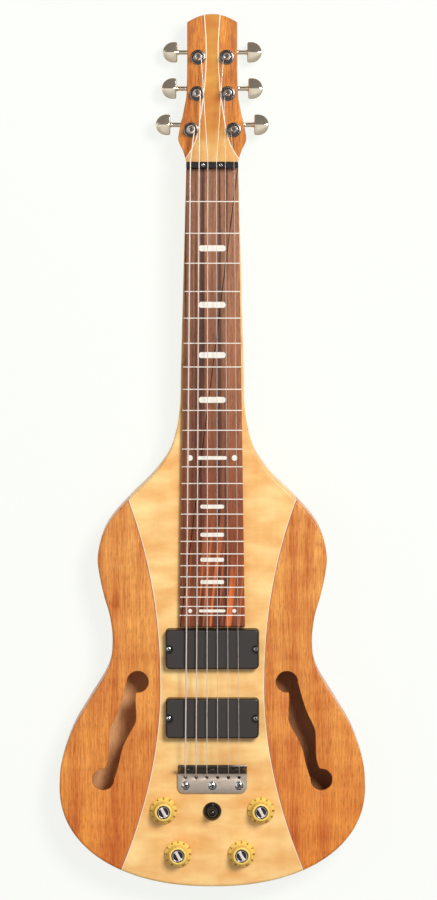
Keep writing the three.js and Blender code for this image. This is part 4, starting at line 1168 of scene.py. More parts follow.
@dataclass
class Plan:
    """Outline, seams and heights that the pieces share, in millimetres."""

    scale: float = 571.5
    nut_length: float = 6.0
    neck_width: float = 49.6
    shoulder: float = 201.5
    shoulder_width: float = 60.4
    upper_bout: float = 374.4
    upper_width: float = 220.0
    waist: float = 455.3
    waist_width: float = 191.6
    lower_bout: float = 594.7
    lower_width: float = 294.2
    tail_length: float = 97.6
    tail_fullness: float = 2.2
    body: float = 45.0
    board: float = 6.5
    board_end_width: float = 62.6
    board_overhang: float = 11.3
    seam_waist: float = 500.6
    seam_half: float = 50.8
    seam_head: Triple = (30.1, 181.0, 2.2)
    seam_tail: Triple = (37.7, 174.7, 1.9)
    accent: float = 1.6
    wing_start: float = 314.6
    wing_top: float = 39.0
    wing_floor: float = 8.0
    rim_wall: float = 12.0
    seam_wall: float = 9.0
    heel_start: float = 235.5
    heel_length: float = 76.0
    volute_end: float = 24.0
    neck_back: float = 17.0
    head_length: float = 146.0
    head_width: float = 65.0
    head_thickness: float = 15.0
    head_tilt: float = 5.0
    tip_rise: float = 8.0
    tip_corner: float = 0.735
    string_top: float = 61.16
    crest: float = 59.54
    string_holes: float = 585.9
    gauges: tuple[float, ...] = (1.32, 1.07, 0.81, 0.56, 0.43, 0.36)
    spread_at_nut: float = 41.6
    spread_at_bridge: float = 51.6
    posts_across: tuple[float, ...] = (0.625, 0.449, 0.418)
    first_post: float = 0.2452
    post_step: float = 0.23664

    def __post_init__(self) -> None:
        """Finds the nut in the frame and works the curves out."""
        self.nut_y = box_mm("nut")[0][1]
        self.nut_middle = self.y(-self.nut_length / 2)
        self.tail = self.lower_bout + self.tail_length
        self.board_end = self.fret(24) + self.board_overhang
        self.board_top = self.body + self.board
        self.flank = self.flank_curve()
        self.wedge = spline([(-a * self.head_length, o * self.neck_width / 2) for a, o in WEDGE_SHARES], 60)
        self.tilt = math.radians(self.head_tilt)
        to_face = Matrix.Translation((0, self.y(-self.nut_length), self.body))
        self.head_matrix = to_face @ Matrix.Rotation(-self.tilt, 4, "X")
        self.bridge_xs = np.linspace(-0.5, 0.5, len(self.gauges)) * self.spread_at_bridge
        self.nut_xs = np.linspace(-0.5, 0.5, len(self.gauges)) * self.spread_at_nut

    def y(self, station: float | Array) -> float | Array:
        """Y of a station."""
        return self.nut_y - station

    def fret(self, number: int) -> float:
        """Station of a fret line, by the law of twelfth roots of two."""
        return self.scale * (1 - 2 ** (-number / 12))

    def flank_curve(self) -> Array:
        """Flank from the nut to the tail: a spline through shares of each stretch, then a superellipse.

        Returns:
            Stations and half widths, one row each.
        """
        places = [
            (self.shoulder, self.shoulder_width / 2),
            (self.upper_bout, self.upper_width / 2),
            (self.waist, self.waist_width / 2),
            (self.lower_bout, self.lower_width / 2),
        ]
        neck, shoulder = self.neck_width, self.shoulder_width
        thirds = [(self.shoulder * k / 3, mix(neck, shoulder, k / 3) / 2) for k in range(3)]
        points = [thirds[2], places[0]]
        tables = (UPPER_SHARES, WAIST_SHARES, LOWER_SHARES)
        for shares, (start, first), (end, last) in zip(tables, places, places[1:]):
            points += [(mix(start, end, a), mix(first, last, o)) for a, o in shares]
        turn = np.linspace(0, QUARTER, 90)[1:]
        power = 2 / self.tail_fullness
        along = self.lower_bout + self.tail_length * np.sin(turn) ** power
        across = self.lower_width / 2 * np.clip(np.cos(turn), 0, 1) ** power
        start = [(-self.nut_length, self.neck_width / 2)]
        return np.vstack([start, thirds[:2], spline(points, 260), np.column_stack([along, across])])

    def half(self, station: Array) -> Array:
        """Half width of the outline at a station."""
        return np.interp(station, self.flank[:, 0], self.flank[:, 1])

    def seam(self, station: Array) -> Array:
        """Half width inside the wings, accents included: a waist that flares by a power of the way from it.

        Args:
            station: one station or several.

        Returns:
            The half widths.
        """
        away = np.asarray(station, float) - self.seam_waist
        half = self.seam_half
        for (flare, length, power), way in ((self.seam_head, -away), (self.seam_tail, away)):
            half = half + flare * (np.maximum(way, 0) / length) ** power
        return half

    def board_half(self, station: Array) -> Array:
        """Half width of the fingerboard."""
        return mix(self.neck_width, self.board_end_width, np.asarray(station) / self.board_end) / 2

    def wedge_half(self, station: Array) -> Array:
        """Half width of the maple in the headstock."""
        return np.interp(station, self.wedge[::-1, 0], self.wedge[::-1, 1])

    def loop(self, pairs: Array, step: float = 2.2) -> Array:
        """Both flanks as one closed outline, anticlockwise.

        Args:
            pairs: stations and half widths from the head to the tail, one row each.
            step: about how far apart the outline's points are.

        Returns:
            The outline's points, one row each.
        """
        right = np.column_stack([pairs[:, 1], self.y(pairs[:, 0])])
        whole = np.vstack([right[::-1], right * (-1, 1)])
        keep = np.linalg.norm(np.diff(whole, axis=0, append=whole[:1]), axis=1) > 1e-6
        return resample(whole[keep], step)

    def band(self, stations: Array, inner: Array, outer: Array, side: Side, low: float, high: float) -> Shell:
        """Upright solid between two curves of half width.

        Args:
            stations: stations of the curves' points.
            inner: half widths of the inner curve.
            outer: half widths of the outer curve.
            side: the side that it lies on.
            low: height of its lower face.
            high: height of its upper face.

        Returns:
            The solid.
        """
        near = np.column_stack([inner, self.y(stations)])
        far = np.column_stack([outer, self.y(stations)])
        return on_side(prism(np.vstack([near, far[::-1]]), low, high), side)

    def at_string_holes(self, shell: Shell) -> Shell:
        """A surface at each of the strings' holes."""
        return gathered([shell.moved(x, self.y(self.string_holes)) for x in self.bridge_xs])

    def post_place(self, number: int) -> tuple[float, float]:
        """Where a tuner's post stands on the headstock's face, from its own frame."""
        row = number - 1 if number <= 3 else 6 - number
        across = self.posts_across[row] * self.head_width / 2
        station = self.head_length * (self.first_post + self.post_step * row)
        along = (station - self.nut_length) / math.cos(self.tilt)
        return (-across if number <= 3 else across), along


@dataclass
class Maker:
    """What every sub-assembly has: the plan, the finishes and a way to add a piece."""

    plan: Plan
    palette: Palette

    def add(
        self,
        name: str,
        shell: Shell,
        finish: Material,
        slot: str,
        nodes: Sequence[str] = (),
        body: str = INSTRUMENT,
        sharp_degrees: float = SHARP_DEGREES,
    ) -> Piece:
        """Makes a piece from a surface and dresses it, with the arguments of make_object and dress."""
        return dress(make_object(name, shell, sharp_degrees), finish, nodes, body)


@dataclass
class Joinery(Maker):
    """Wood: the maple core, the hollow wings, the headstock ears and the accent strips between them."""

    cuts: "Cuts"
    rim_round: float = 2.5
    edge_at_nut: float = 0.25
    edge_on_neck: float = 0.85
    edge_runs: tuple[tuple[float, float], ...] = ((0.0, 120.0), (225.0, 262.0))
    cream_share: float = 0.35
    cream_at_head: float = 0.9
    hole_length: float = 115.8
    hole_across: float = 88.0
    hole_station: float = 541.1
    eye_radius: float = 10.5
    edge_round: float = 0.6
    head_drop: float = 0.02
    strip_end: float = 2.95
    crease_degrees: float = 32.0

    def body_slab(self) -> Shell:
        """Neck and body in plan, with a rim round that fades along the neck."""
        plan = self.plan
        loop = plan.loop(plan.flank)
        station = plan.nut_y - loop[:, 1]
        neck, heel = (smooth_step(*run, station) for run in self.edge_runs)
        top = self.edge_at_nut + (self.edge_on_neck - self.edge_at_nut) * neck
        top = top + (self.rim_round - self.edge_on_neck) * heel
        return soft_slab(loop, 0, plan.body, top, self.rim_round)

    def core_tube(self) -> Shell:
        """Maple before its outline is cut: sections along the strings.

        Each section is as wide as the neck or the seams, reaches down to the back's own curve (cosine ramps at the
        volute and the heel), and has round lower corners.

        Returns:
            The maple, with its sides and its top beyond the body's outline.
        """
        plan = self.plan
        heel_end = plan.heel_start + plan.heel_length
        runs = (
            (-plan.nut_length - 2, -plan.nut_length - 2, 1),
            (-plan.nut_length, plan.volute_end, 17),
            (34, 226, 18),
            (plan.heel_start, 318, 34),
            (322, 700, 80),
        )
        station = np.concatenate([np.linspace(*run) for run in runs])
        seam = plan.seam(np.maximum(station, plan.wing_start)) - plan.accent
        half = np.where(station < 400, np.minimum(plan.half(station) + 0.02, seam), seam)
        volute = cosine_ramp(-plan.nut_length, plan.volute_end, station)
        heel = cosine_ramp(plan.heel_start, heel_end, station)
        back = plan.body - plan.head_thickness + volute * (plan.neck_back - plan.body + plan.head_thickness)
        back = back * (1 - heel) - np.where(station > heel_end, 5.0, 0.0)
        corner = np.maximum((1 + 8 * volute) * (1 - heel), 0.02)
        turn = np.linspace(-QUARTER, 0, 9)
        right_x = half[:, None] - corner[:, None] * (1 - np.cos(turn))
        right_z = back[:, None] + corner[:, None] * (1 + np.sin(turn))
        high = np.full((len(station), 1), plan.body + 5)
        x = np.hstack([right_x, half[:, None], -half[:, None], -right_x[:, ::-1]])
        z = np.hstack([right_z, high, high, right_z[:, ::-1]])
        y = np.broadcast_to(plan.y(station)[:, None], x.shape)
        return tube(np.stack([x, y, z], axis=-1))

    def head_slab(self) -> Shell:
        """Headstock in plan, sheared down along its tilted face.

        Returns:
            The slab.
        """
        plan = self.plan
        half = plan.head_width / 2
        corner = plan.tip_corner * half
        points = [(-plan.nut_length, plan.neck_width / 2)]
        points += [(-a * plan.head_length, o * half) for a, o in HEAD_SHARES]
        points.append((plan.tip_rise - plan.head_length, corner))
        share = np.linspace(1, 0, 24)[1:]
        arch = np.column_stack([plan.tip_rise * share**2 - plan.head_length, corner * share])
        pairs = np.vstack([[(1 - plan.nut_length, plan.neck_width / 2)], spline(points, 120), arch])
        loop = plan.loop(pairs[::-1], 1.6)
        slab = soft_slab(loop, plan.body - plan.head_thickness, plan.body, 0.9, 1.6, 4)
        beyond_nut = slab.points[:, 1] - plan.nut_y - plan.nut_length
        slab.points[:, 2] -= math.tan(plan.tilt) * beyond_nut + self.head_drop
        return slab

    def wedge_band(self, inner: float, outer: float, side: Optional[Side]) -> Shell:
        """Upright solid beside the headstock's maple, between two distances from its edge, or the maple itself.

        Args:
            inner: distance of its inner face.
            outer: distance of its outer face.
            side: the side that it lies on, or None for the maple.

        Returns:
            The solid.
        """
        plan = self.plan
        end = -self.strip_end if side else self.head_drop - plan.nut_length
        station = np.linspace(-plan.head_length - 6, end, 70)
        edge = plan.wedge_half(station)
        if side is None:
            return plan.band(station, -edge, edge, Side.TREBLE, -20, plan.body + 8)
        return plan.band(station, edge + inner, edge + outer, side, -20, plan.body + 8)

    def seam_band(self, inner: float, outer: float, side: Side, low: float = -5, high: float = 50) -> Shell:
        """Upright solid beside the body's maple, between two distances from the wing's seam.

        Args:
            inner: distance of its inner face.
            outer: distance of its outer face.
            side: the side that it lies on.
            low: height of its lower face.
            high: height of its upper face.

        Returns:
            The solid.
        """
        station = np.linspace(self.plan.wing_start, self.plan.tail + 5, 150)
        edge = self.plan.seam(station)
        return self.plan.band(station, edge + inner, edge + outer, side, low, high)

    def hollow(self, station: Array) -> tuple[Array, Array]:
        """Half widths of a wing's chamber: the seam moved out by its wall, and the flank moved in by the rim's.

        Args:
            station: the stations.

        Returns:
            The inner and the outer half widths there.
        """
        plan = self.plan
        flank = plan.flank[4:-1]
        along = np.gradient(flank, axis=0)
        along /= np.linalg.norm(along, axis=1)[:, None]
        rim = flank + plan.rim_wall * np.column_stack([along[:, 1], -along[:, 0]])
        return plan.seam(station) + plan.seam_wall, np.interp(station, rim[:, 0], rim[:, 1])

    def chamber(self, side: Side) -> Shell:
        """Hollow of a wing."""
        plan = self.plan
        station = np.linspace(322, plan.tail - plan.rim_wall, 220)
        inner, outer = self.hollow(station)
        keep = outer - inner > 1.0
        return plan.band(station[keep], inner[keep], outer[keep], side, plan.wing_floor, plan.wing_top + 0.001)

    def eye_arc(self, centre: Array, start: Array, end: Array) -> Array:
        """Arc of a sound hole's eye, anticlockwise from the direction of one point to that of another.

        Args:
            centre: middle of the eye.
            start: point in whose direction it starts.
            end: point in whose direction it ends.

        Returns:
            The arc's points, one row each.
        """
        first, last = (math.atan2(*(point - centre)[::-1]) for point in (start, end))
        sweep = (last - first) % (2 * math.pi)
        return centre + on_circle(self.eye_radius, first + np.linspace(0, 1, 36) * sweep)

    def hole_outline(self) -> Array:
        """Sound hole: two round eyes joined by a stem, as one outline on the treble side, anticlockwise.

        Returns:
            The outline's points, one row each.
        """
        eyes = np.array(EYE_SHARES) * self.hole_length
        stem = []
        for shares in (STEM_OUTER, STEM_INNER):
            curve = spline(shares, 70) * self.hole_length
            away = np.linalg.norm(curve[:, None, :] - eyes[None], axis=2)
            stem.append(curve[(away > self.eye_radius + 0.2).all(axis=1)])
        outer, inner = stem
        lower = self.eye_arc(eyes[1], outer[-1], inner[0])
        upper = self.eye_arc(eyes[0], inner[-1], outer[0])
        loop = np.vstack([outer, lower, inner, upper])
        placed = np.column_stack([self.hole_across + loop[:, 0], self.plan.y(self.hole_station + loop[:, 1])])
        return resample(placed[::-1], 1.2)

    def hole(self, side: Side) -> Shell:
        """Cutter of a sound hole, which flares by a quarter circle at the face.

        Args:
            side: the side that it lies on.

        Returns:
            The cutter.
        """
        loop = self.hole_outline()
        rings = [at_height(loop, 30.0)]
        for angle in np.linspace(0, QUARTER, 5):
            flare = inset(loop, -self.edge_round * (1 - math.cos(angle)))
            rings.append(at_height(flare, self.plan.body - self.edge_round * (1 - math.sin(angle))))
        rings.append(rings[-1] + (0, 0, 3))
        return on_side(tube(np.stack(rings)), side)

    def trimmed(self, name: str, base: Shell, band: Shell, *cutters: Shell) -> Piece:
        """Piece of a slab inside a band, less what the cutters hold.

        Args:
            name: name of the piece.
            base: the slab.
            band: the band.
            cutters: closed surfaces.

        Returns:
            The piece.
        """
        piece = make_object(name, base)
        boolean(piece, band, "INTERSECT")
        for cutter in cutters:
            boolean(piece, cutter)
        close_holes(piece)
        soften(piece, self.crease_degrees)
        return piece

    def leave_bare(self, piece: Piece, side: Side) -> None:
        """Paints the chamber's floor and walls and the top's underside: unlacquered mahogany, lightened as painted
        light on the bass side and darkened as painted shade on the treble side.

        Args:
            piece: a wing's frame or top.
            side: the side that it lies on.
        """
        plan = self.plan
        centre = face_data(piece, "center")
        inner, outer = self.hollow(plan.nut_y - centre[:, 1])
        away = np.abs(centre[:, 0])
        inside = (away > inner - 0.5) & (away < outer + 1.0)
        height = (centre[:, 2] > plan.wing_floor - 0.05) & (centre[:, 2] < plan.wing_top + 0.05)
        paint(piece, (self.palette.bare[side], inside & height))

    def build_core(self, slab: Shell, head: Shell) -> None:
        """Makes the maple: body and neck as one closed shell and the headstock's wedge as another, in one piece.

        Args:
            slab: neck and body in plan.
            head: headstock in plan.
        """
        plan = self.plan
        holes = [self.cuts.tuner_holes(side) for side in Side]
        body = self.trimmed("body", slab, self.core_tube(), *self.cuts.in_core())
        wedge = self.trimmed("wedge", head, self.wedge_band(0, 0, None), *holes)
        shell = gathered([shell_of(body), shell_of(wedge)])
        crease = self.crease_degrees
        core = self.add("core_maple", shell, self.palette.maple, "maple", ["core"], sharp_degrees=crease)
        # Painted shade: the maple round the bores under the strings' holes is black satin, for the shadow deep in
        # them.
        place = face_data(core, "center")
        y = plan.y(plan.string_holes)
        from_hole = [np.hypot(place[:, 0] - x, place[:, 1] - y) for x in plan.bridge_xs]
        paint(core, (self.palette.satin, np.min(from_hole, axis=0) < 1.6))

    def build(self) -> None:
        """Makes and dresses every piece of wood."""
        plan, palette = self.plan, self.palette
        slab, head = self.body_slab(), self.head_slab()
        self.build_core(slab, head)
        cream = plan.accent * self.cream_share - plan.accent
        for side in Side:
            holes = self.cuts.tuner_holes(side)
            face = self.seam_band(0, 120, side, plan.wing_top)
            rear = self.seam_band(0, 120, side, high=plan.wing_top)
            cream_band = self.wedge_band(0, self.cream_at_head, side)
            rose_band = self.wedge_band(self.cream_at_head, plan.accent, side)
            rows = (
                ("seam_cream", slab, self.seam_band(-plan.accent, cream, side), None, palette.cream, ""),
                ("seam_rose", slab, self.seam_band(cream, 0, side), None, palette.rose, "body_accent"),
                ("wing_hollow", slab, rear, self.chamber(side), palette.mahogany, "wing_frame"),
                ("wing_face", slab, face, self.hole(side), palette.mahogany, "wing_top"),
                ("head_cream", head, cream_band, holes, palette.cream, ""),
                ("head_rose", head, rose_band, holes, palette.rose, "head_accent"),
                ("head_wing", head, self.wedge_band(plan.accent, 60, side), holes, palette.ear, "head_ear"),
            )
            for name, base, band, cutter, finish, node in rows:
                piece = self.trimmed(f"{name}_{side.word}", base, band, *([cutter] if cutter else []))
                dress(piece, finish, [f"{node}_{side.word}"] if node else ())
                if finish is palette.mahogany:
                    # The chamber's inside takes painted light on the bass side and painted shade on the treble
                    # side.
                    self.leave_bare(piece, side)


@dataclass
class Cuts:
    """Pockets, bores and recesses in the wood."""

    plan: Plan
    pocket_half: tuple[float, float] = (44.85, 19.45)
    pocket_corner: float = 3.7
    pocket_floor: float = 32.2
    ceiling: float = 38.0
    cavity_round: float = 12.0
    cavity_reach: float = 10.1
    selector_reach: float = 13.1
    knee_drop: float = 8.5
    ledge: float = 4.8
    ledge_depth: float = 2.5
    pot_bore: float = 5.0
    selector_bore: float = 5.8
    sleeve: float = 4.9
    rim_middle: float = 22.5
    clear_of_top: float = 60.0
    jack_bores: tuple[Triple, ...] = ((11.0, -425.0, -410.15), (5.8, -415.0, -375.0))

    def __post_init__(self) -> None:
        """Reads the places of the fittings from the frame."""
        self.pickups = [middle(f"pickup_{word}") for word in ("neck", "bridge")]
        self.knobs = {word: middle(f"knob_{word}") for word in KNOBS}
        self.selector = middle("selector_ring")

    def cavity(self, grow: float) -> Array:
        """Outline of the control cavity, anticlockwise.

        Args:
            grow: how far outwards it moves.

        Returns:
            The outline's points, one row each.
        """
        reach = self.cavity_reach + grow
        upper, lower = self.knobs["treble_upper"], self.knobs["bass_lower"]
        head = max(upper[1] + self.cavity_reach, self.selector[1] + self.selector_reach) + grow
        tail = lower[1] - reach
        wide, narrow = upper[0] + reach, abs(lower[0]) + reach
        knee = upper[1] - self.knee_drop
        corners = [[wide, head], [-wide, head], [-wide, knee], [-narrow, tail], [narrow, tail], [wide, knee]]
        return rounded_polygon(corners, [self.cavity_round] * 6, 8)

    def in_core(self) -> list[Shell]:
        """Everything that is cut out of the maple.

        Returns:
            The cutters.
        """
        outline = rounded_polygon(rectangle(*self.pocket_half), [self.pocket_corner] * 4)
        high = self.clear_of_top
        pocket = prism(outline, self.pocket_floor, high)
        bores = [rod(self.pot_bore, 30, high, 32).moved(place[0], place[1]) for place in self.knobs.values()]
        bores.append(rod(self.selector_bore, 30, high, 32).moved(y=self.selector[1]))
        string_hole = revolved([[4.3, -5], [4.3, 1.15], [3.0, 1.15], [3.0, 10.6], [1.5, 10.6], [1.5, high]], 32)
        return [
            *(pocket.moved(y=place[1]) for place in self.pickups),
            prism(self.cavity(0), -5, self.ceiling),
            prism(self.cavity(self.ledge), -5, self.ledge_depth),
            gathered(bores),
            *(self.along_y(*bore) for bore in self.jack_bores),
            self.plan.at_string_holes(string_hole),
        ]

    def along_y(self, radius: float, low: float, high: float) -> Shell:
        """Round bore along Y at the middle of the rim's height."""
        return rod(radius, -high, -low, 48).spun(QUARTER, "X").moved(z=self.rim_middle)

    def tuner_holes(self, side: Side) -> Shell:
        """Bores of the tuners' sleeves through the headstock."""
        bore = rod(self.sleeve, -40, 20, 32)
        numbers = range(1, 4) if side is Side.BASS else range(4, 7)
        return gathered([bore.moved(*self.plan.post_place(n)).turned(self.plan.head_matrix) for n in numbers])


@dataclass(frozen=True)
class Screw:
    """Cross-recessed screw head."""

    radius: float
    height: float

    def head(self) -> Shell:
        """Domed head on z = 0 with a cross recess.

        The dome's height falls with the square of the radius, down to a short straight rim.

        Returns:
            The head.
        """
        radius, height, rim = self.radius, self.height, self.height * 0.35
        profile = [[radius * 0.96, 0.0], [radius, rim * 0.5]]
        profile += [[radius * s, rim + (height - rim) * (1 - s * s)] for s in np.linspace(1, 0.04, 9)]
        arm = rectangle(radius * 0.6, radius * 0.15)
        one = prism(arm, height * 0.12, height + 1)
        two = prism(arm, height * 0.13, height + 1.2).spun(QUARTER, "Z")
        return cut_shell(revolved(profile, 28), one, two)

    def lining(self) -> Shell:
        """Painted shade in the cross recess: a dark cross on its floor, where the recess lies in shadow."""
        long, short, low = self.radius * 0.58, self.radius * 0.14, self.height * 0.1
        one = prism(rectangle(long, short), low, self.height * 0.34)
        return gathered([one, prism(rectangle(short, long), low, self.height * 0.33)])

    def placed(self, place: Sequence[float], turn: float, rearward: bool = False) -> tuple[Shell, Shell]:
        """The head and its painted recess shade somewhere.

        Args:
            place: middle of the face that it lies on.
            turn: angle of its recess, in radians.
            rearward: whether it looks down, on the back.

        Returns:
            The head and the painted recess shade.
        """
        both = (part.spun(turn, "Z") for part in (self.head(), self.lining()))
        head, lining = (part.spun(math.pi, "X") if rearward else part for part in both)
        return head.moved(*place), lining.moved(*place)


@dataclass
class Fingerboard(Maker):
    """Rosewood board with flush lines and inlays."""

    edge_round: float = 0.6
    line_width: float = 0.95
    line_rise: float = 0.1
    line_floor: float = 2.5
    line_overhang: float = 0.12
    line_chamfer: float = 0.07
    inlay_rise: float = 0.04
    inlay_depth: float = 1.0

    def board(self) -> Shell:
        """Tapered slab with softened upper edges."""
        plan = self.plan
        near, far = plan.neck_width / 2, plan.board_end_width / 2
        head, tail = plan.y(0.0), plan.y(plan.board_end)
        loop = rounded_polygon([[far, tail], [near, head], [-near, head], [-far, tail]], [0.6] * 4, 3)
        return soft_slab(resample(loop, 6.0), plan.body, plan.board_top, self.edge_round, 0.0)

    def lines(self) -> Shell:
        """The 24 fret lines: flat strips whose upper edges are chamfered.

        Returns:
            The lines.
        """
        plan = self.plan
        shells = []
        for number in range(1, 25):
            station = plan.fret(number)
            strip = rectangle(float(plan.board_half(station)) + self.line_overhang, self.line_width / 2)
            low, high = plan.body + self.line_floor, plan.board_top + self.line_rise
            shell = soft_slab(strip, low, high, self.line_chamfer, 0.0, 1)
            shells.append(shell.moved(y=plan.y(station)))
        return gathered(shells)

    def inlay(self, fret: int, loop: Array, xs: Sequence[float] = (0.0,)) -> Shell:
        """Inlays between a fret and the one before.

        Args:
            fret: number of the fret.
            loop: outline of one inlay about the origin.
            xs: where they lie across the board.

        Returns:
            The inlays.
        """
        y = self.plan.y((self.plan.fret(fret) + self.plan.fret(fret - 1)) / 2)
        top = self.plan.board_top
        shell = prism(loop, top - self.inlay_depth, top + self.inlay_rise)
        return gathered([shell.moved(x, y) for x in xs])

    def bar(self, fret: int, width: float, height: float) -> Shell:
        """Round-ended bar between two frets."""
        return self.inlay(fret, rounded_polygon(rectangle(width / 2, height / 2), [height * 0.42] * 4, 6))

    def dots(self, fret: int, spread: float, radius: float) -> Shell:
        """Two dots beside a bar."""
        return self.inlay(fret, on_circle(radius, angles(28)), (-spread, spread))

    def build(self) -> None:
        """Makes the board, its lines and its inlays."""
        finish = self.palette.inlay
        self.add("fingerboard_rosewood", self.board(), self.palette.rosewood, "rosewood", ["fingerboard"])
        self.add("fret_lines", self.lines(), finish, "accent")
        shells = [self.bar(fret, 25.4, 5.7) for fret in (3, 5, 7, 9)]
        shells += [self.bar(fret, 22.8, 3.9) for fret in (15, 17, 19, 21)]
        shells += [self.bar(12, 27.7, 3.5), self.bar(24, 25.3, 2.8)]
        shells += [self.dots(12, 21.3, 2.7), self.dots(24, 21.1, 1.95)]
        self.add("inlays", gathered(shells), finish, "accent")


@dataclass
class Nut(Maker):
    """Raised black nut with two screws."""

    screw: Screw = Screw(2.4, 1.3)
    seat_radius: float = 2.6
    screw_x: float = 8.32
    turns: tuple[float, float] = (0.4, 0.9)

    def build(self) -> None:
        """Makes the block, its slots and its screws."""
        plan = self.plan
        y, top = plan.nut_middle, box_mm("nut")[1][2]
        seat = top - self.screw.height
        loop = rounded_polygon(rectangle(plan.neck_width / 2, plan.nut_length / 2), [1.0] * 4, 5)
        block = soft_slab(loop, plan.body, top, 0.6, 0.0).moved(y=y)
        slots = []
        for x, gauge in zip(plan.nut_xs, plan.gauges):
            groove = rod(gauge / 2 + 0.08, -8, 8, 16).spun(QUARTER, "X")
            slots.append(groove.moved(x, y, plan.string_top - gauge / 2))
        xs = (-self.screw_x, self.screw_x)
        seats = [rod(self.seat_radius, seat, top + 2, 32).moved(x, y) for x in xs]
        nut = carved("nut_block", block, gathered(slots), gathered(seats))
        dress(nut, self.palette.gloss, ["nut"])
        heads, recess_shades = zip(*(self.screw.placed((x, y, seat), turn) for x, turn in zip(xs, self.turns)))
        self.add("nut_screws", gathered(heads), self.palette.chrome, "chrome")
        # Painted shade: a dark cross in each screw's recess.
        self.add("nut_screw_recess_shades", gathered(recess_shades), self.palette.satin, "black_satin")


@dataclass
class Bridge(Maker):
    """Bent plate that carries the strings over its upturned edge."""

    screw: Screw = Screw(4.3, 2.2)
    thickness: float = 2.5
    lean: float = 57.0
    bend: float = 2.0
    front: float = 571.5
    rear: float = 601.3
    screw_station: float = 593.9
    screw_x: float = 25.8

    def section(self) -> Array:
        """Closed outline of the bent plate as stations and heights: two straight runs joined by arcs.

        Returns:
            The outline's points, one row each.
        """
        base, crest = self.plan.body, self.plan.crest
        plate = base + self.thickness
        slope = math.radians(self.lean)
        inner = self.front + self.thickness / math.sin(slope)
        corners = [
            (self.front, crest),
            (self.front + (crest - base) / math.tan(slope), base),
            (self.rear, base),
            (self.rear, plate),
            (inner + (crest - plate) / math.tan(slope), plate),
            (inner, crest),
        ]
        return rounded_polygon(corners, [0.9, 3.2, 0.35, 0.5, self.bend, 0.9], 6)

    def build(self) -> None:
        """Makes the plate with its holes, and its screws."""
        plan, palette = self.plan, self.palette
        half = box_mm("bridge_plate")[1][0]
        top = plan.body + self.thickness
        section = self.section()
        wall = np.column_stack([np.zeros(len(section)), plan.y(section[:, 0]), section[:, 1]])
        reach = (half + 1, 0, 0)
        plate = make_object("bridge_bent_plate", tube(np.stack([wall - reach, wall + reach])))
        recalculate(plate)
        rear, front = plan.y(self.rear), plan.y(self.front)
        corners = [[half, rear], [half, front], [-half, front], [-half, rear]]
        blank = rounded_polygon(corners, [6.5, 3.0, 3.0, 6.5], 10)
        boolean(plate, prism(blank, 40, 70), "INTERSECT")
        boolean(plate, plan.at_string_holes(rod(1.5, 40, 70, 24)))
        bevel(plate, 0.3, 2, 40)
        soften(plate, SHARP_DEGREES)
        dress(plate, palette.steel, ["bridge_plate"])
        # Painted reflection: the faces above the plate, the upturned flange, take the dark metal.
        paint(plate, (palette.mirror, face_data(plate, "center")[:, 2] > top + 0.5))
        washer = revolved([[4.7, 0], [4.7, 0.25], [3.0, 0.3]], 36)
        rows = (("bass", -self.screw_x, 0.5), ("centre", 0.0, 0.15), ("treble", self.screw_x, 1.0))
        for name, x, turn in rows:
            place = (x, plan.y(self.screw_station), top)
            head, lining = self.screw.placed(place, turn)
            shell = gathered([head, washer.moved(*place)])
            self.add(f"bridge_fixing_{name}", shell, palette.chrome, "chrome", [f"bridge_screw_{name}"])
            # Painted shade: a dark cross in the screw's recess.
            self.add(f"bridge_recess_{name}", lining, palette.satin, "black_satin")


@dataclass
class Pickups(Maker):
    """Two soapbar pickups on height screws."""

    screw: Screw = Screw(2.9, 1.7)
    recess_floor: float = 52.6
    recess_radius: float = 4.4
    screw_x: float = 41.7
    shank_length: float = 32.0

    def build(self) -> None:
        """Makes both covers and their screws."""
        palette, floor = self.palette, self.recess_floor
        for word in ("neck", "bridge"):
            body = f"{word}_pickup"
            low, high = box_mm(f"pickup_{word}")
            y = middle(f"pickup_{word}")[1]
            loop = resample(rounded_polygon(rectangle(high[0], (high[1] - low[1]) / 2), [3.6] * 4, 8), 1.5)
            recess = rod(self.recess_radius, floor, 70, 40)
            recesses = [recess.moved(x) for x in (-self.screw_x, self.screw_x)]
            cover = carved(f"pickup_cover_{word}", soft_slab(loop, low[2], high[2], 1.5, 0.5, 6), *recesses)
            cover.data.transform(Matrix.Translation((0, y * MM, 0)))
            dress(cover, palette.pickup, [f"pickup_{word}"], body)
            for where, x, turn in (("bass", -self.screw_x, 0.3), ("treble", self.screw_x, 1.1)):
                head, lining = self.screw.placed((x, y, floor), turn)
                shank = rod(1.4, floor - self.shank_length, floor + 0.05, 16).moved(x, y)
                name, node = f"pickup_fixing_{word}_{where}", f"pickup_screw_{word}_{where}"
                self.add(name, gathered([head, shank]), palette.chrome, "chrome", [node], body)
                # Painted shade: a dark cross in the screw's recess.
                self.add(f"pickup_recess_{word}_{where}", lining, palette.satin, "black_satin", (), body)


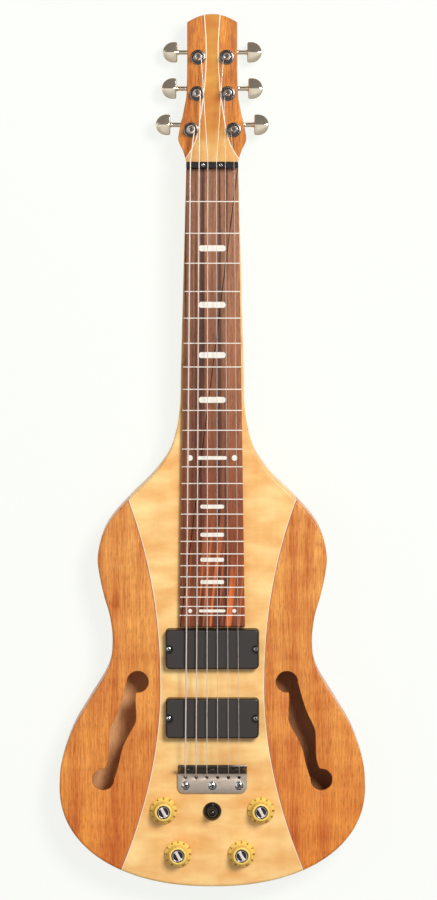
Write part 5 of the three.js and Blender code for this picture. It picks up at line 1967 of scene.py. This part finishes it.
@dataclass
class Knobs(Maker):
    """Skirted knobs with a mirror insert and numbers from 0 to 10."""

    radius: float = 13.0
    gap: float = 1.0
    insert_rise: float = 0.8
    shaft_radius: float = 3.1
    flutes: int = 48
    flute_depth: float = 0.16
    dish_radius: float = 5.0
    digit_height: float = 3.7
    digit_place: tuple[float, float] = (11.55, 2.28)

    def body(self, top: float) -> Shell:
        """Ribbed knob on z = 0.

        A profile of radius and height goes round; on the crown the radius swings by a cosine of the angle, so that
        the wall is ribbed.

        Args:
            top: height of its rim.

        Returns:
            The knob.
        """
        profile = np.array(
            [
                (self.shaft_radius, 4.6, 0), (7.6, 4.6, 0), (7.6, 0, 0), (12.7, 0, 0), (self.radius, 0.3, 0),
                (self.radius, 1.0, 0), (12.6, 1.5, 0), (10.6, 2.9, 0), (9.5, 4.3, 0.5), (9.05, 5.6, 1),
                (8.75, 8.0, 1), (8.55, top - 2.0, 1), (8.45, top - 0.9, 1), (8.1, top - 0.25, 0.6), (7.5, top, 0),
                (6.6, top, 0), (6.35, top - 0.3, 0), (6.3, top - 1.8, 0),
            ]
        )
        swing = self.flute_depth * np.cos(self.flutes * angles(self.flutes * 6))
        return waved(profile[:, :1] + profile[:, 2:] * swing, profile[:, 1])

    def marks(self) -> Shell:
        """Numbers on the skirt, which lean with it."""
        shells = []
        y, z = self.digit_place
        for number in range(11):
            digit = text_shell(str(number), self.digit_height, 0.16).spun(-math.atan2(1.4, 2.0), "X")
            shells.append(digit.moved(y=y, z=z).spun(math.radians(240 - 30 * number) - QUARTER, "Z"))
        return gathered(shells)

    def mirror(self, top: float) -> Shell:
        """Reflector disc: a ring round a dish, which a flat-topped ridge crosses.

        The dish's floor lies lower by a constant, and the ridge lifts it back by one minus a smooth step of the
        distance from a slanting line.

        Args:
            top: height of the knob's rim.

        Returns:
            The disc.
        """
        rise = top + 0.5
        profile = [[6.25, top - 1.2], [6.25, rise - 0.5], [6.1, rise - 0.15], [5.85, rise]]
        profile += [[5.6, rise - 0.15], [5.42, rise - 0.5], [5.2, rise - 0.6]]
        profile += [[self.dish_radius * s, rise - 0.6] for s in (*np.linspace(1, 0.1, 16), 0.02)]
        shell = revolved(profile, 72)
        x, y, z = shell.points.T
        away = np.hypot(x, y)
        lean = math.radians(62)
        ridge = 1 - smooth_step(0.9, 2.3, np.abs(x * math.sin(lean) + y * math.cos(lean)))
        dish = smooth_step(5.05, 3.9, away) * (ridge - 0.85) * 1.15
        shell.points[:, 2] += np.where((z > rise - 0.7) & (away < 5.05), dish, 0.0)
        return shell

    def build(self) -> None:
        """Makes the four knobs; each rides on its own body."""
        palette = self.palette
        foot = self.plan.body + self.gap
        for word in KNOBS:
            low, high = box_mm(f"knob_{word}")
            x, y = middle(f"knob_{word}")[:2]
            top = high[2] - foot - self.insert_rise
            body = f"{word}_knob"
            shaft = rod(self.shaft_radius, low[2] - foot, 4.7, 24)
            shell = gathered([self.body(top), shaft]).moved(x, y, foot)
            self.add(f"knob_amber_{word}", shell, palette.amber, "amber", [f"knob_{word}"], body, 30)
            shell = self.mirror(top).moved(x, y, foot)
            insert = self.add(f"knob_mirror_{word}", shell, palette.chrome, "chrome", (), body, 30)
            centre = face_data(insert, "center") - (x, y, foot + top)
            away = np.linalg.norm(centre[:, :2], axis=1)
            floor = (centre[:, 2] < -0.42) & (away < self.dish_radius)
            # Painted reflection: the dish's floor is painted black and its raised ridge pale silver, for the dark
            # and bright reflections of the polished insert; the outer ring takes the darker chrome.
            silver = (palette.silver, away < self.dish_radius)
            paint(insert, silver, (palette.washer, away > 5.15), (palette.gloss, floor))
            shell = self.marks().moved(x, y, foot)
            self.add(f"knob_numbers_{word}", shell, palette.print, "black_gloss", (), body)


@dataclass
class Selector(Maker):
    """Three-way selector: ring nut and lever."""

    station: float = 618.9
    bore: float = 5.8
    ball_radius: float = 2.3
    ball_height: float = 42.0
    tip_radius: float = 4.0

    def ring(self, outer: float, rise: float) -> Shell:
        """Dished ring nut on z = 0.

        Args:
            outer: outer radius.
            rise: height.

        Returns:
            The ring.
        """
        bore = self.bore
        profile = [
            [bore, 0], [outer, 0], [outer, 1.2], [outer - 0.2, 1.9], [outer - 1.0, 3.0], [outer - 1.9, rise - 0.5],
            [outer - 2.3, rise], [6.4, rise], [6.0, rise - 0.3], [bore, rise - 0.9], [bore, 0],
        ]
        return revolved(profile, 72, False)

    def lever(self, low: float, tip: float) -> Shell:
        """Stem with its ball and its round tip.

        Args:
            low: height of its lower end.
            tip: height of its tip.

        Returns:
            The lever.
        """
        ball, wide = self.ball_radius, self.tip_radius
        profile = [[0.7, low], [0.7, 39.9]]
        bow = np.linspace(-1.1, 0.85, 9)
        profile += [[ball * math.cos(a), self.ball_height + ball * math.sin(a)] for a in bow]
        profile += [[1.4, 44.4], [1.4, tip - 10.4], [3.1, tip - 10.5], [3.7, tip - 9.4]]
        profile += [[wide * s, tip - z] for s, z in ((0.985, 8), (1.0, 6.6), (0.985, 4.6), (0.93, 2.7))]
        bow = np.linspace(0.2, 1.5, 8)
        profile += [[wide * 0.93 * math.cos(a), tip - 2.7 + 2.7 * math.sin(a)] for a in bow]
        return revolved(profile, 48)

    def build(self) -> None:
        """Makes the ring and the lever."""
        y = self.plan.y(self.station)
        gloss = self.palette.gloss
        low, high = box_mm("selector_ring")
        ring = self.ring(high[0], high[2] - low[2]).moved(y=y, z=self.plan.body)
        self.add("selector_collar", ring, gloss, "black_gloss", ["selector_ring"], sharp_degrees=30)
        low, high = box_mm("selector_lever")
        lever = self.lever(low[2], high[2]).moved(y=y)
        self.add("selector_tip", lever, gloss, "black_gloss", ["selector_lever"], "lever", 30)


@dataclass
class Tuners(Maker):
    """Six enclosed tuners, each with its post, worm and gear; lengths are in the headstock's own frame."""

    teeth: int = 12
    gear_radius: float = 4.2
    worm_radius: float = 2.0
    worm_half: float = 3.6
    tooth_out: float = 0.5
    tooth_in: float = 0.7
    gear_depth: float = 5.2
    case_top: float = -15.25
    case_depth: float = 11.0
    button_from_post: float = 19.8
    button_radius: float = 10.0

    def __post_init__(self) -> None:
        """Works out the distance from post to shaft, and the height of both axes."""
        self.distance = self.gear_radius + self.worm_radius
        self.level = self.case_top - self.gear_depth

    def case(self, side: Side) -> Shell:
        """Closed housing under the headstock, with its rooms for gear and worm.

        Args:
            side: the side that it lies on.

        Returns:
            The housing.
        """
        far, level = self.distance + 6.0, self.level
        corners = [[9.5, -8.0], [9.5, far], [-8.0, far], [-8.0, -8.0]]
        loop = resample(rounded_polygon(corners, [2.6] * 4, 6), 1.6)
        box = soft_slab(loop, self.case_top - self.case_depth, self.case_top, 0.4, 1.6, 5)
        rooms = [rod(5.1, level - 1.85, level + 1.85, 40)]
        for radius, low, high, sides in ((2.9, -4.6, 4.6, 28), (1.7, -7.2, 20, 20)):
            rooms.append(rod(radius, low, high, sides).spun(QUARTER, "Y").moved(y=self.distance, z=level))
        rooms += [rod(3.2, level, 0, 28), rod(1.9, level - 4.4, level, 24)]
        return on_side(cut_shell(box, *rooms), side)

    def bushing(self) -> Shell:
        """Dished washer and round-edged bushing on the face, with the sleeve through the wood."""
        profile = [
            [3.2, self.case_top], [4.6, self.case_top], [4.6, 0.02], [7.15, 0.02], [7.2, 0.5], [6.95, 0.95],
            [6.3, 1.15], [5.75, 0.95], [5.45, 0.95], [5.4, 1.3], [5.4, 3.2], [5.15, 3.9], [4.5, 4.4], [3.7, 4.6],
            [3.35, 4.5], [3.2, 4.1], [3.2, self.case_top],
        ]
        return revolved(profile, 48, False)

    def post(self) -> Shell:
        """Post with a waist, a string hole, a dished top, and its gear and pin inside the case.

        Returns:
            The post.
        """
        level = self.level
        profile = [
            [1.6, level - 3.7], [1.6, level - 1.4], [2.95, level - 1.4], [2.95, 4.4], [3.0, 4.6], [2.95, 5.1],
            [2.6, 5.8], [2.6, 9.1], [2.85, 10.2], [3.0, 11.2], [3.0, 15.9], [2.85, 16.5], [2.5, 16.9], [2.2, 17.0],
            [2.0, 16.85], [1.6, 16.4], [1.5, 15.0], [0.2, 14.9],
        ]
        hole = rod(0.75, -5, 5, 16).spun(QUARTER, "X").moved(z=12.6)
        return gathered([cut_shell(revolved(profile, 40), hole), self.gear().moved(z=level)])

    def gear(self) -> Shell:
        """Worm wheel: the radius swings from root to tip by a clipped cosine, and the teeth lean with height."""
        height = np.linspace(-1.5, 1.5, 4)
        angle = angles(self.teeth * 10) - 0.11 * height[:, None]
        wave = np.clip(1.9 * np.cos(self.teeth * angle), -1, 1)
        mean = self.gear_radius + (self.tooth_out - self.tooth_in) / 2
        return waved(mean + wave * (self.tooth_out + self.tooth_in) / 2, height)

    def winding(self, gauge: float) -> Shell:
        """Three turns of string round the post's waist: a helix one gauge a turn.

        Args:
            gauge: thickness of the string.

        Returns:
            The winding.
        """
        turns = 3.0
        angle = np.linspace(0, 2 * math.pi * turns, 90)
        z = POST_STRING + min(gauge, 0.95) * (turns / 2 - angle / (2 * math.pi))
        path = np.column_stack([on_circle(WINDING_CORE + gauge / 2, angle), z])
        return swept_tube(path, gauge / 2 * 0.98, 8, (0.0, 0.0, 1.0))

    def worm(self) -> Shell:
        """Worm on the button's shaft, about X: the radius swings along a helix."""
        pitch = 2 * math.pi * self.gear_radius / self.teeth
        x = np.linspace(-self.worm_half, self.worm_half, 60)
        wave = np.clip(1.7 * np.cos(2 * np.pi * x[:, None] / pitch - angles(32) - math.pi), -1, 1)
        fade = smooth_step(self.worm_half, self.worm_half - 0.4, np.abs(x))[:, None]
        shell = waved(1.25 + fade * (0.6 + 0.55 * wave), x)
        return Shell(np.roll(shell.points, 1, axis=1), shell.faces)

    def button(self, side: Side) -> Shell:
        """Half-moon button with a ridge, its collar, shaft and worm, from its shaft's axis.

        The button's thickness falls on both sides of the ridge, and its edges are bevelled round.

        Args:
            side: the side that it lies on.

        Returns:
            The button.
        """
        shaft = [
            [1.2, -5.4], [1.2, 9.8], [2.5, 9.8], [2.7, 10.0], [2.7, 11.1], [2.6, 11.3], [2.55, 11.35],
            [2.55, 13.6], [2.55, 16.8], [2.6, 18.1], [2.9, 18.3], [3.0, 18.6], [3.0, 20.6],
        ]
        reach = self.button_radius
        right = on_circle(reach, np.linspace(-QUARTER, QUARTER, 40)) + (4.0, 0.0)
        foot = [[4.0, reach], [0.0, reach], [0.0, -reach], [4.0, -reach]]
        left = rounded_polygon(foot, [0.01, 1.6, 1.6, 0.01], 5)
        loop = resample(np.vstack([right[1:-1], left[6:-6]]), 0.9)
        grip = make_object("grip", prism(loop, -6, 6))
        roof = np.array([[-12, -1.96], [0, -4.0], [12, -1.96], [12, 1.96], [0, 4.0], [-12, 1.96]])
        ends = np.stack([np.column_stack([np.full(6, x), roof]) for x in (-1.0, 16.0)])
        boolean(grip, tube(ends), "INTERSECT")
        bevel(grip, 0.9, 3, 35)
        turned = revolved(shaft, 28).spun(QUARTER, "Y")
        return on_side(gathered([turned, self.worm(), shell_of(grip).moved(self.button_from_post)]), side)

    def build(self) -> None:
        """Makes the six tuners; posts and buttons ride on their own bodies."""
        plan, palette = self.plan, self.palette
        cases = {side: self.case(side) for side in Side}
        buttons = {side: self.button(side).moved(y=self.distance, z=self.level) for side in Side}
        bushing, stem = self.bushing(), self.post()
        # Painted shade: a black disc in each post's dished top, for the dark hollow there.
        post_top_shade = revolved([[1.45, 15.0], [1.35, 15.1], [0.2, 15.1]], 24)
        for number, gauge in enumerate(plan.gauges, start=1):
            side, wire = (Side.BASS, palette.wound) if number <= 3 else (Side.TREBLE, palette.wire)
            post, button = f"post_{number}", f"button_{number}"
            rows = (
                ("case", cases[side], palette.pot_metal, "chrome", ["tuner_housing"], INSTRUMENT, 30),
                ("washer", bushing, palette.washer, "chrome", [], INSTRUMENT, 30),
                ("stem", stem, palette.chrome, "chrome", ["tuner_post"], post, 30),
                ("post_top_shade", post_top_shade, palette.satin, "black_satin", [], post, 38),
                ("winding", self.winding(gauge), wire, "string_wire", [], post, 60),
                ("key", buttons[side], palette.button, "chrome", ["tuner_button"], button, 30),
            )
            for name, shell, finish, slot, nodes, body, sharp in rows:
                placed = shell.moved(*plan.post_place(number)).turned(plan.head_matrix)
                nodes = [f"{node}_{number}" for node in nodes]
                self.add(f"tuner_{name}_{number}", placed, finish, slot, nodes, body, sharp)


@dataclass
class Strings(Maker):
    """Six strings from their posts over the nut and the bridge to their ball ends."""

    crest_gap: float = 0.05
    crest_run: tuple[float, float] = (571.9, 574.3)
    hole_lip: float = 0.3
    plate_top: float = 47.9
    ball_height: float = 8.0
    bend: float = 0.7

    def start(self, number: int, gauge: float, nut: Array) -> Array:
        """Where a string leaves its winding: the point of the winding's circle whose tangent meets the nut.

        Args:
            number: number of the string.
            gauge: its thickness.
            nut: where it meets the nut.

        Returns:
            The point.
        """
        matrix = self.plan.head_matrix
        post = np.array(self.plan.post_place(number))
        to_nut = carried(nut, matrix.inverted())[:2] - post
        reach = WINDING_CORE + gauge / 2
        side = -1 if number <= 3 else 1
        angle = math.atan2(to_nut[1], to_nut[0]) - side * math.acos(reach / np.linalg.norm(to_nut))
        place = post + (reach * math.cos(angle), reach * math.sin(angle))
        return carried(np.append(place, POST_STRING), matrix)

    def path(self, number: int, gauge: float) -> Array:
        """Points of one string.

        Args:
            number: number of the string.
            gauge: its thickness.

        Returns:
            The points, one row each.
        """
        plan = self.plan
        nut_x, bridge_x = plan.nut_xs[number - 1], plan.bridge_xs[number - 1]
        height = plan.string_top - gauge / 2
        crest = plan.crest + self.crest_gap + gauge / 2
        nut = np.array([nut_x, plan.y(-plan.nut_length), height])
        corners = [self.start(number, gauge, nut), nut, (nut_x, plan.y(0.0), height)]
        hole = plan.string_holes
        drop = [(station, crest) for station in self.crest_run]
        drop += [(hole - self.hole_lip, self.plate_top + gauge / 2), (hole, self.ball_height)]
        corners += [(bridge_x, plan.y(station), z) for station, z in drop]
        return softened(np.array(corners), self.bend)

    def build(self) -> None:
        """Makes every string with its ball end."""
        ball = revolved([[1.1, 6.2], [1.8, 6.4], [2.0, 7.0], [2.0, 9.0], [1.8, 9.6], [1.1, 9.8]], 24)
        for number, gauge in enumerate(self.plan.gauges, start=1):
            path = self.path(number, gauge)
            shell = gathered([swept_tube(path, gauge / 2, 12), ball.moved(path[-1][0], path[-1][1])])
            finish = self.palette.wound if number <= 3 else self.palette.wire
            name = f"string_line_{number}"
            self.add(name, shell, finish, "string_wire", [f"string_{number}"], sharp_degrees=50)


@dataclass
class Rear(Maker):
    """What the back and the tail carry: cover, ferrules and output jack."""

    cuts: Cuts
    screw: Screw = Screw(2.6, 1.0)
    seat_depth: float = 1.35

    def cover(self) -> None:
        """Makes the control cover with its six screws."""
        palette = self.palette
        low, high = box_mm("rear_cover")
        wide, head, tail = high[0], high[1], low[1]
        places = [(wide - 5.0, head - 5.0), (-wide + 5.0, head - 5.0), (0.0, head - 3.4), (0.0, tail + 3.4)]
        places += [(wide - 17.5, tail + 4.6), (-wide + 17.5, tail + 4.6)]
        plate = soft_slab(resample(self.cuts.cavity(4.5), 2.5), low[2], high[2], 0.0, 0.7, 4)
        seats = gathered([rod(2.9, -2, self.seat_depth, 32).moved(x, y) for x, y in places])
        dress(carved("control_cover", plate, seats), palette.satin, ["rear_cover"])
        head, lining = self.screw.placed((0.0, 0.0, self.seat_depth), 0.6, rearward=True)
        self.add("cover_screws", gathered([head.moved(x, y) for x, y in places]), palette.chrome, "chrome")
        recess_shades = gathered([lining.moved(x, y) for x, y in places])
        # Painted shade: a dark cross in each screw's recess.
        self.add("cover_recess_shades", recess_shades, palette.satin, "black_satin")

    def ferrules(self) -> None:
        """Makes the six ferrules at the strings' ends."""
        profile = [
            [2.35, 10.4], [2.9, 10.4], [2.9, 1.15], [4.15, 1.05], [4.15, 0.4], [3.9, 0.15], [2.6, 0.15],
            [2.35, 0.5], [2.35, 10.4],
        ]
        shell = self.plan.at_string_holes(revolved(profile, 40, False))
        piece = self.add("string_ferrules", shell, self.palette.chrome, "chrome", sharp_degrees=30)
        recalculate(piece)

    def jack(self) -> None:
        """Makes the jack: a flange, a six-sided nut and a bored barrel about Y."""
        low, high = box_mm("output_jack")
        depth, inner = -low[1], -high[1]
        profile = [
            [3.4, depth - 0.3], [3.6, depth], [5.2, depth], [5.4, depth - 0.2], [5.4, depth - 1.6],
            [7.8, depth - 1.65], [8.0, depth - 1.9], [8.0, depth - 2.3], [5.5, depth - 2.4],
            [5.5, inner], [3.4, inner], [3.4, depth - 0.3],
        ]
        hexagon = resample(on_circle(7.0, math.pi / 6 + angles(6)), 1.4)
        nut = soft_slab(hexagon, depth - 1.7, depth - 0.35, 0.25, 0.0, 2)
        nut = cut_shell(nut, rod(5.2, depth - 4, depth + 2, 40))
        shell = gathered([revolved(profile, 48, False), nut]).spun(QUARTER, "X").moved(z=self.cuts.rim_middle)
        chrome = self.palette.chrome
        piece = self.add("jack_socket", shell, chrome, "chrome", ["output_jack"], sharp_degrees=30)
        recalculate(piece)

    def build(self) -> None:
        """Makes everything on the back and in the tail."""
        self.cover()
        self.ferrules()
        self.jack()


@dataclass
class Studio:
    """Pale floor, soft light and the camera; its lengths are in metres."""

    focal_mm: float = 152.42
    sensor_mm: float = 24.0
    camera_place: Triple = (0.00597, 0.4437, 5.5)
    camera_lean: float = 4.619
    floor_radius: float = 9.0
    floor_sides: int = 48
    floor_height: float = -0.0006
    floor_glow: float = 0.87
    sky_greys: tuple[tuple[float, int], ...] = ((0.0, 40), (0.35, 88), (0.75, 168), (0.94, 202), (0.985, 255))
    patch_towards: Triple = (0.0, 0.469, 0.883)

    def camera(self) -> None:
        """Looks straight down, with the lean and the place that the fret lines and the outline fit."""
        data = bpy.data.cameras.new("camera")
        data.sensor_fit = "VERTICAL"
        data.sensor_height = self.sensor_mm
        data.lens = self.focal_mm
        data.clip_end = 50.0
        camera = bpy.data.objects.new("camera", data)
        camera.location = self.camera_place
        camera.rotation_euler = (-math.radians(self.camera_lean), 0.0, 0.0)
        bpy.context.scene.collection.objects.link(camera)
        bpy.context.scene.camera = camera

    def seen_directly(self, web: Web) -> Socket:
        """1 for camera, glossy and transmitted rays."""
        path = web.add("ShaderNodeLightPath")
        first = web.math("MAXIMUM", path.outputs["Is Camera Ray"], path.outputs["Is Transmission Ray"])
        return web.math("MAXIMUM", first, path.outputs["Is Glossy Ray"])

    def floor(self) -> None:
        """Large pale floor, which keeps a soft shadow."""
        mesh = bpy.data.meshes.new("floor")
        corners = at_height(on_circle(self.floor_radius, angles(self.floor_sides)), self.floor_height)
        mesh.from_pydata(corners.tolist(), [], [list(range(self.floor_sides))])
        floor = bpy.data.objects.new("floor", mesh)
        bpy.context.scene.collection.objects.link(floor)
        material, web, shader = new_material("floor_paper")
        web.nodes.remove(shader)
        paper = web.fill(web.add("ShaderNodeBsdfDiffuse"), {"Color": tone(246, 246, 242)})
        glow = web.fill(web.add("ShaderNodeEmission"), {"Color": tone(251, 253, 248)})
        share = web.math("MULTIPLY", self.seen_directly(web), self.floor_glow)
        mixed = web.fill(web.add("ShaderNodeMixShader"), {0: share, 1: paper.outputs[0], 2: glow.outputs[0]})
        web.fill(web.nodes["Material Output"], {"Surface": mixed.outputs[0]})
        floor.data.materials.append(material)

    def world(self) -> None:
        """Soft sky: bright above, darker at the horizon, so that polished metal shows dark and light parts."""
        world = bpy.data.worlds.new("studio")
        bpy.context.scene.world = world
        world.use_nodes = True
        web = Web(world.node_tree)
        source = web.add("ShaderNodeTexCoord")
        split = web.add("ShaderNodeSeparateXYZ")
        web.fill(split, {0: source.outputs["Generated"]})
        ramp = web.add("ShaderNodeValToRGB")
        web.fill(ramp, {0: split.outputs[2]})
        elements = ramp.color_ramp.elements
        while len(elements) < len(self.sky_greys):
            elements.new(0.5)
        for element, (place, grey) in zip(elements, self.sky_greys):
            element.position = place
            element.color = tone(grey, grey, grey)
        dim = web.add("ShaderNodeVectorMath", operation="DOT_PRODUCT")
        web.fill(dim, {0: source.outputs["Generated"], 1: self.patch_towards})
        patch = web.stretch(dim.outputs["Value"], 0.9, 0.965)
        colour = web.blend(patch, ramp.outputs[0], tone(124, 122, 120))
        web.fill(web.nodes["Background"], {"Color": colour, "Strength": 0.8})

    def lamp(self, name: str, place: Sequence[float], size: float, power: float) -> None:
        """Square soft lamp aimed at the middle of the instrument.

        Args:
            name: its name.
            place: where it hangs, in metres.
            size: side of its square, in metres.
            power: watts.
        """
        data = bpy.data.lights.new(name, "AREA")
        data.shape = "SQUARE"
        data.size = size
        data.energy = power
        lamp = bpy.data.objects.new(name, data)
        lamp.location = place
        lamp.visible_camera = False
        lamp.rotation_euler = (-Vector(place)).to_track_quat("-Z", "Y").to_euler()
        bpy.context.scene.collection.objects.link(lamp)

    def build(self) -> None:
        """Sets the stage."""
        self.camera()
        self.floor()
        self.world()
        self.lamp("key", (1.05, 1.1, 2.6), 0.9, 84.0)
        self.lamp("fill", (-1.8, 0.2, 2.4), 2.2, 12.0)
        bpy.context.scene.view_settings.view_transform = "Standard"


def dress_hidden(palette: Palette) -> None:
    """Gives the parts inside the control cavity, which stay as the frame has them, their finishes.

    Args:
        palette: the finishes.
    """
    finishes = {f"pot_{word}": palette.pot_metal for word in KNOBS}
    finishes["selector_body"] = palette.satin
    for name, material in finishes.items():
        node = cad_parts[name]
        node.data.materials.clear()
        node.data.materials.append(material)
        LOG.info("%s keeps its own shape", name)


def main() -> None:
    """Builds and dresses the instrument, piece by piece."""
    logging.basicConfig(level=logging.INFO, format="%(name)s: %(message)s")
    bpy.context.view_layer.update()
    plan = Plan()
    palette = Palette()
    cuts = Cuts(plan)
    Studio().build()
    Joinery(plan, palette, cuts).build()
    for maker in (Fingerboard, Nut, Bridge, Pickups, Knobs, Selector, Tuners, Strings):
        maker(plan, palette).build()
    Rear(plan, palette, cuts).build()
    dress_hidden(palette)


if __name__ == "__main__":
    main()
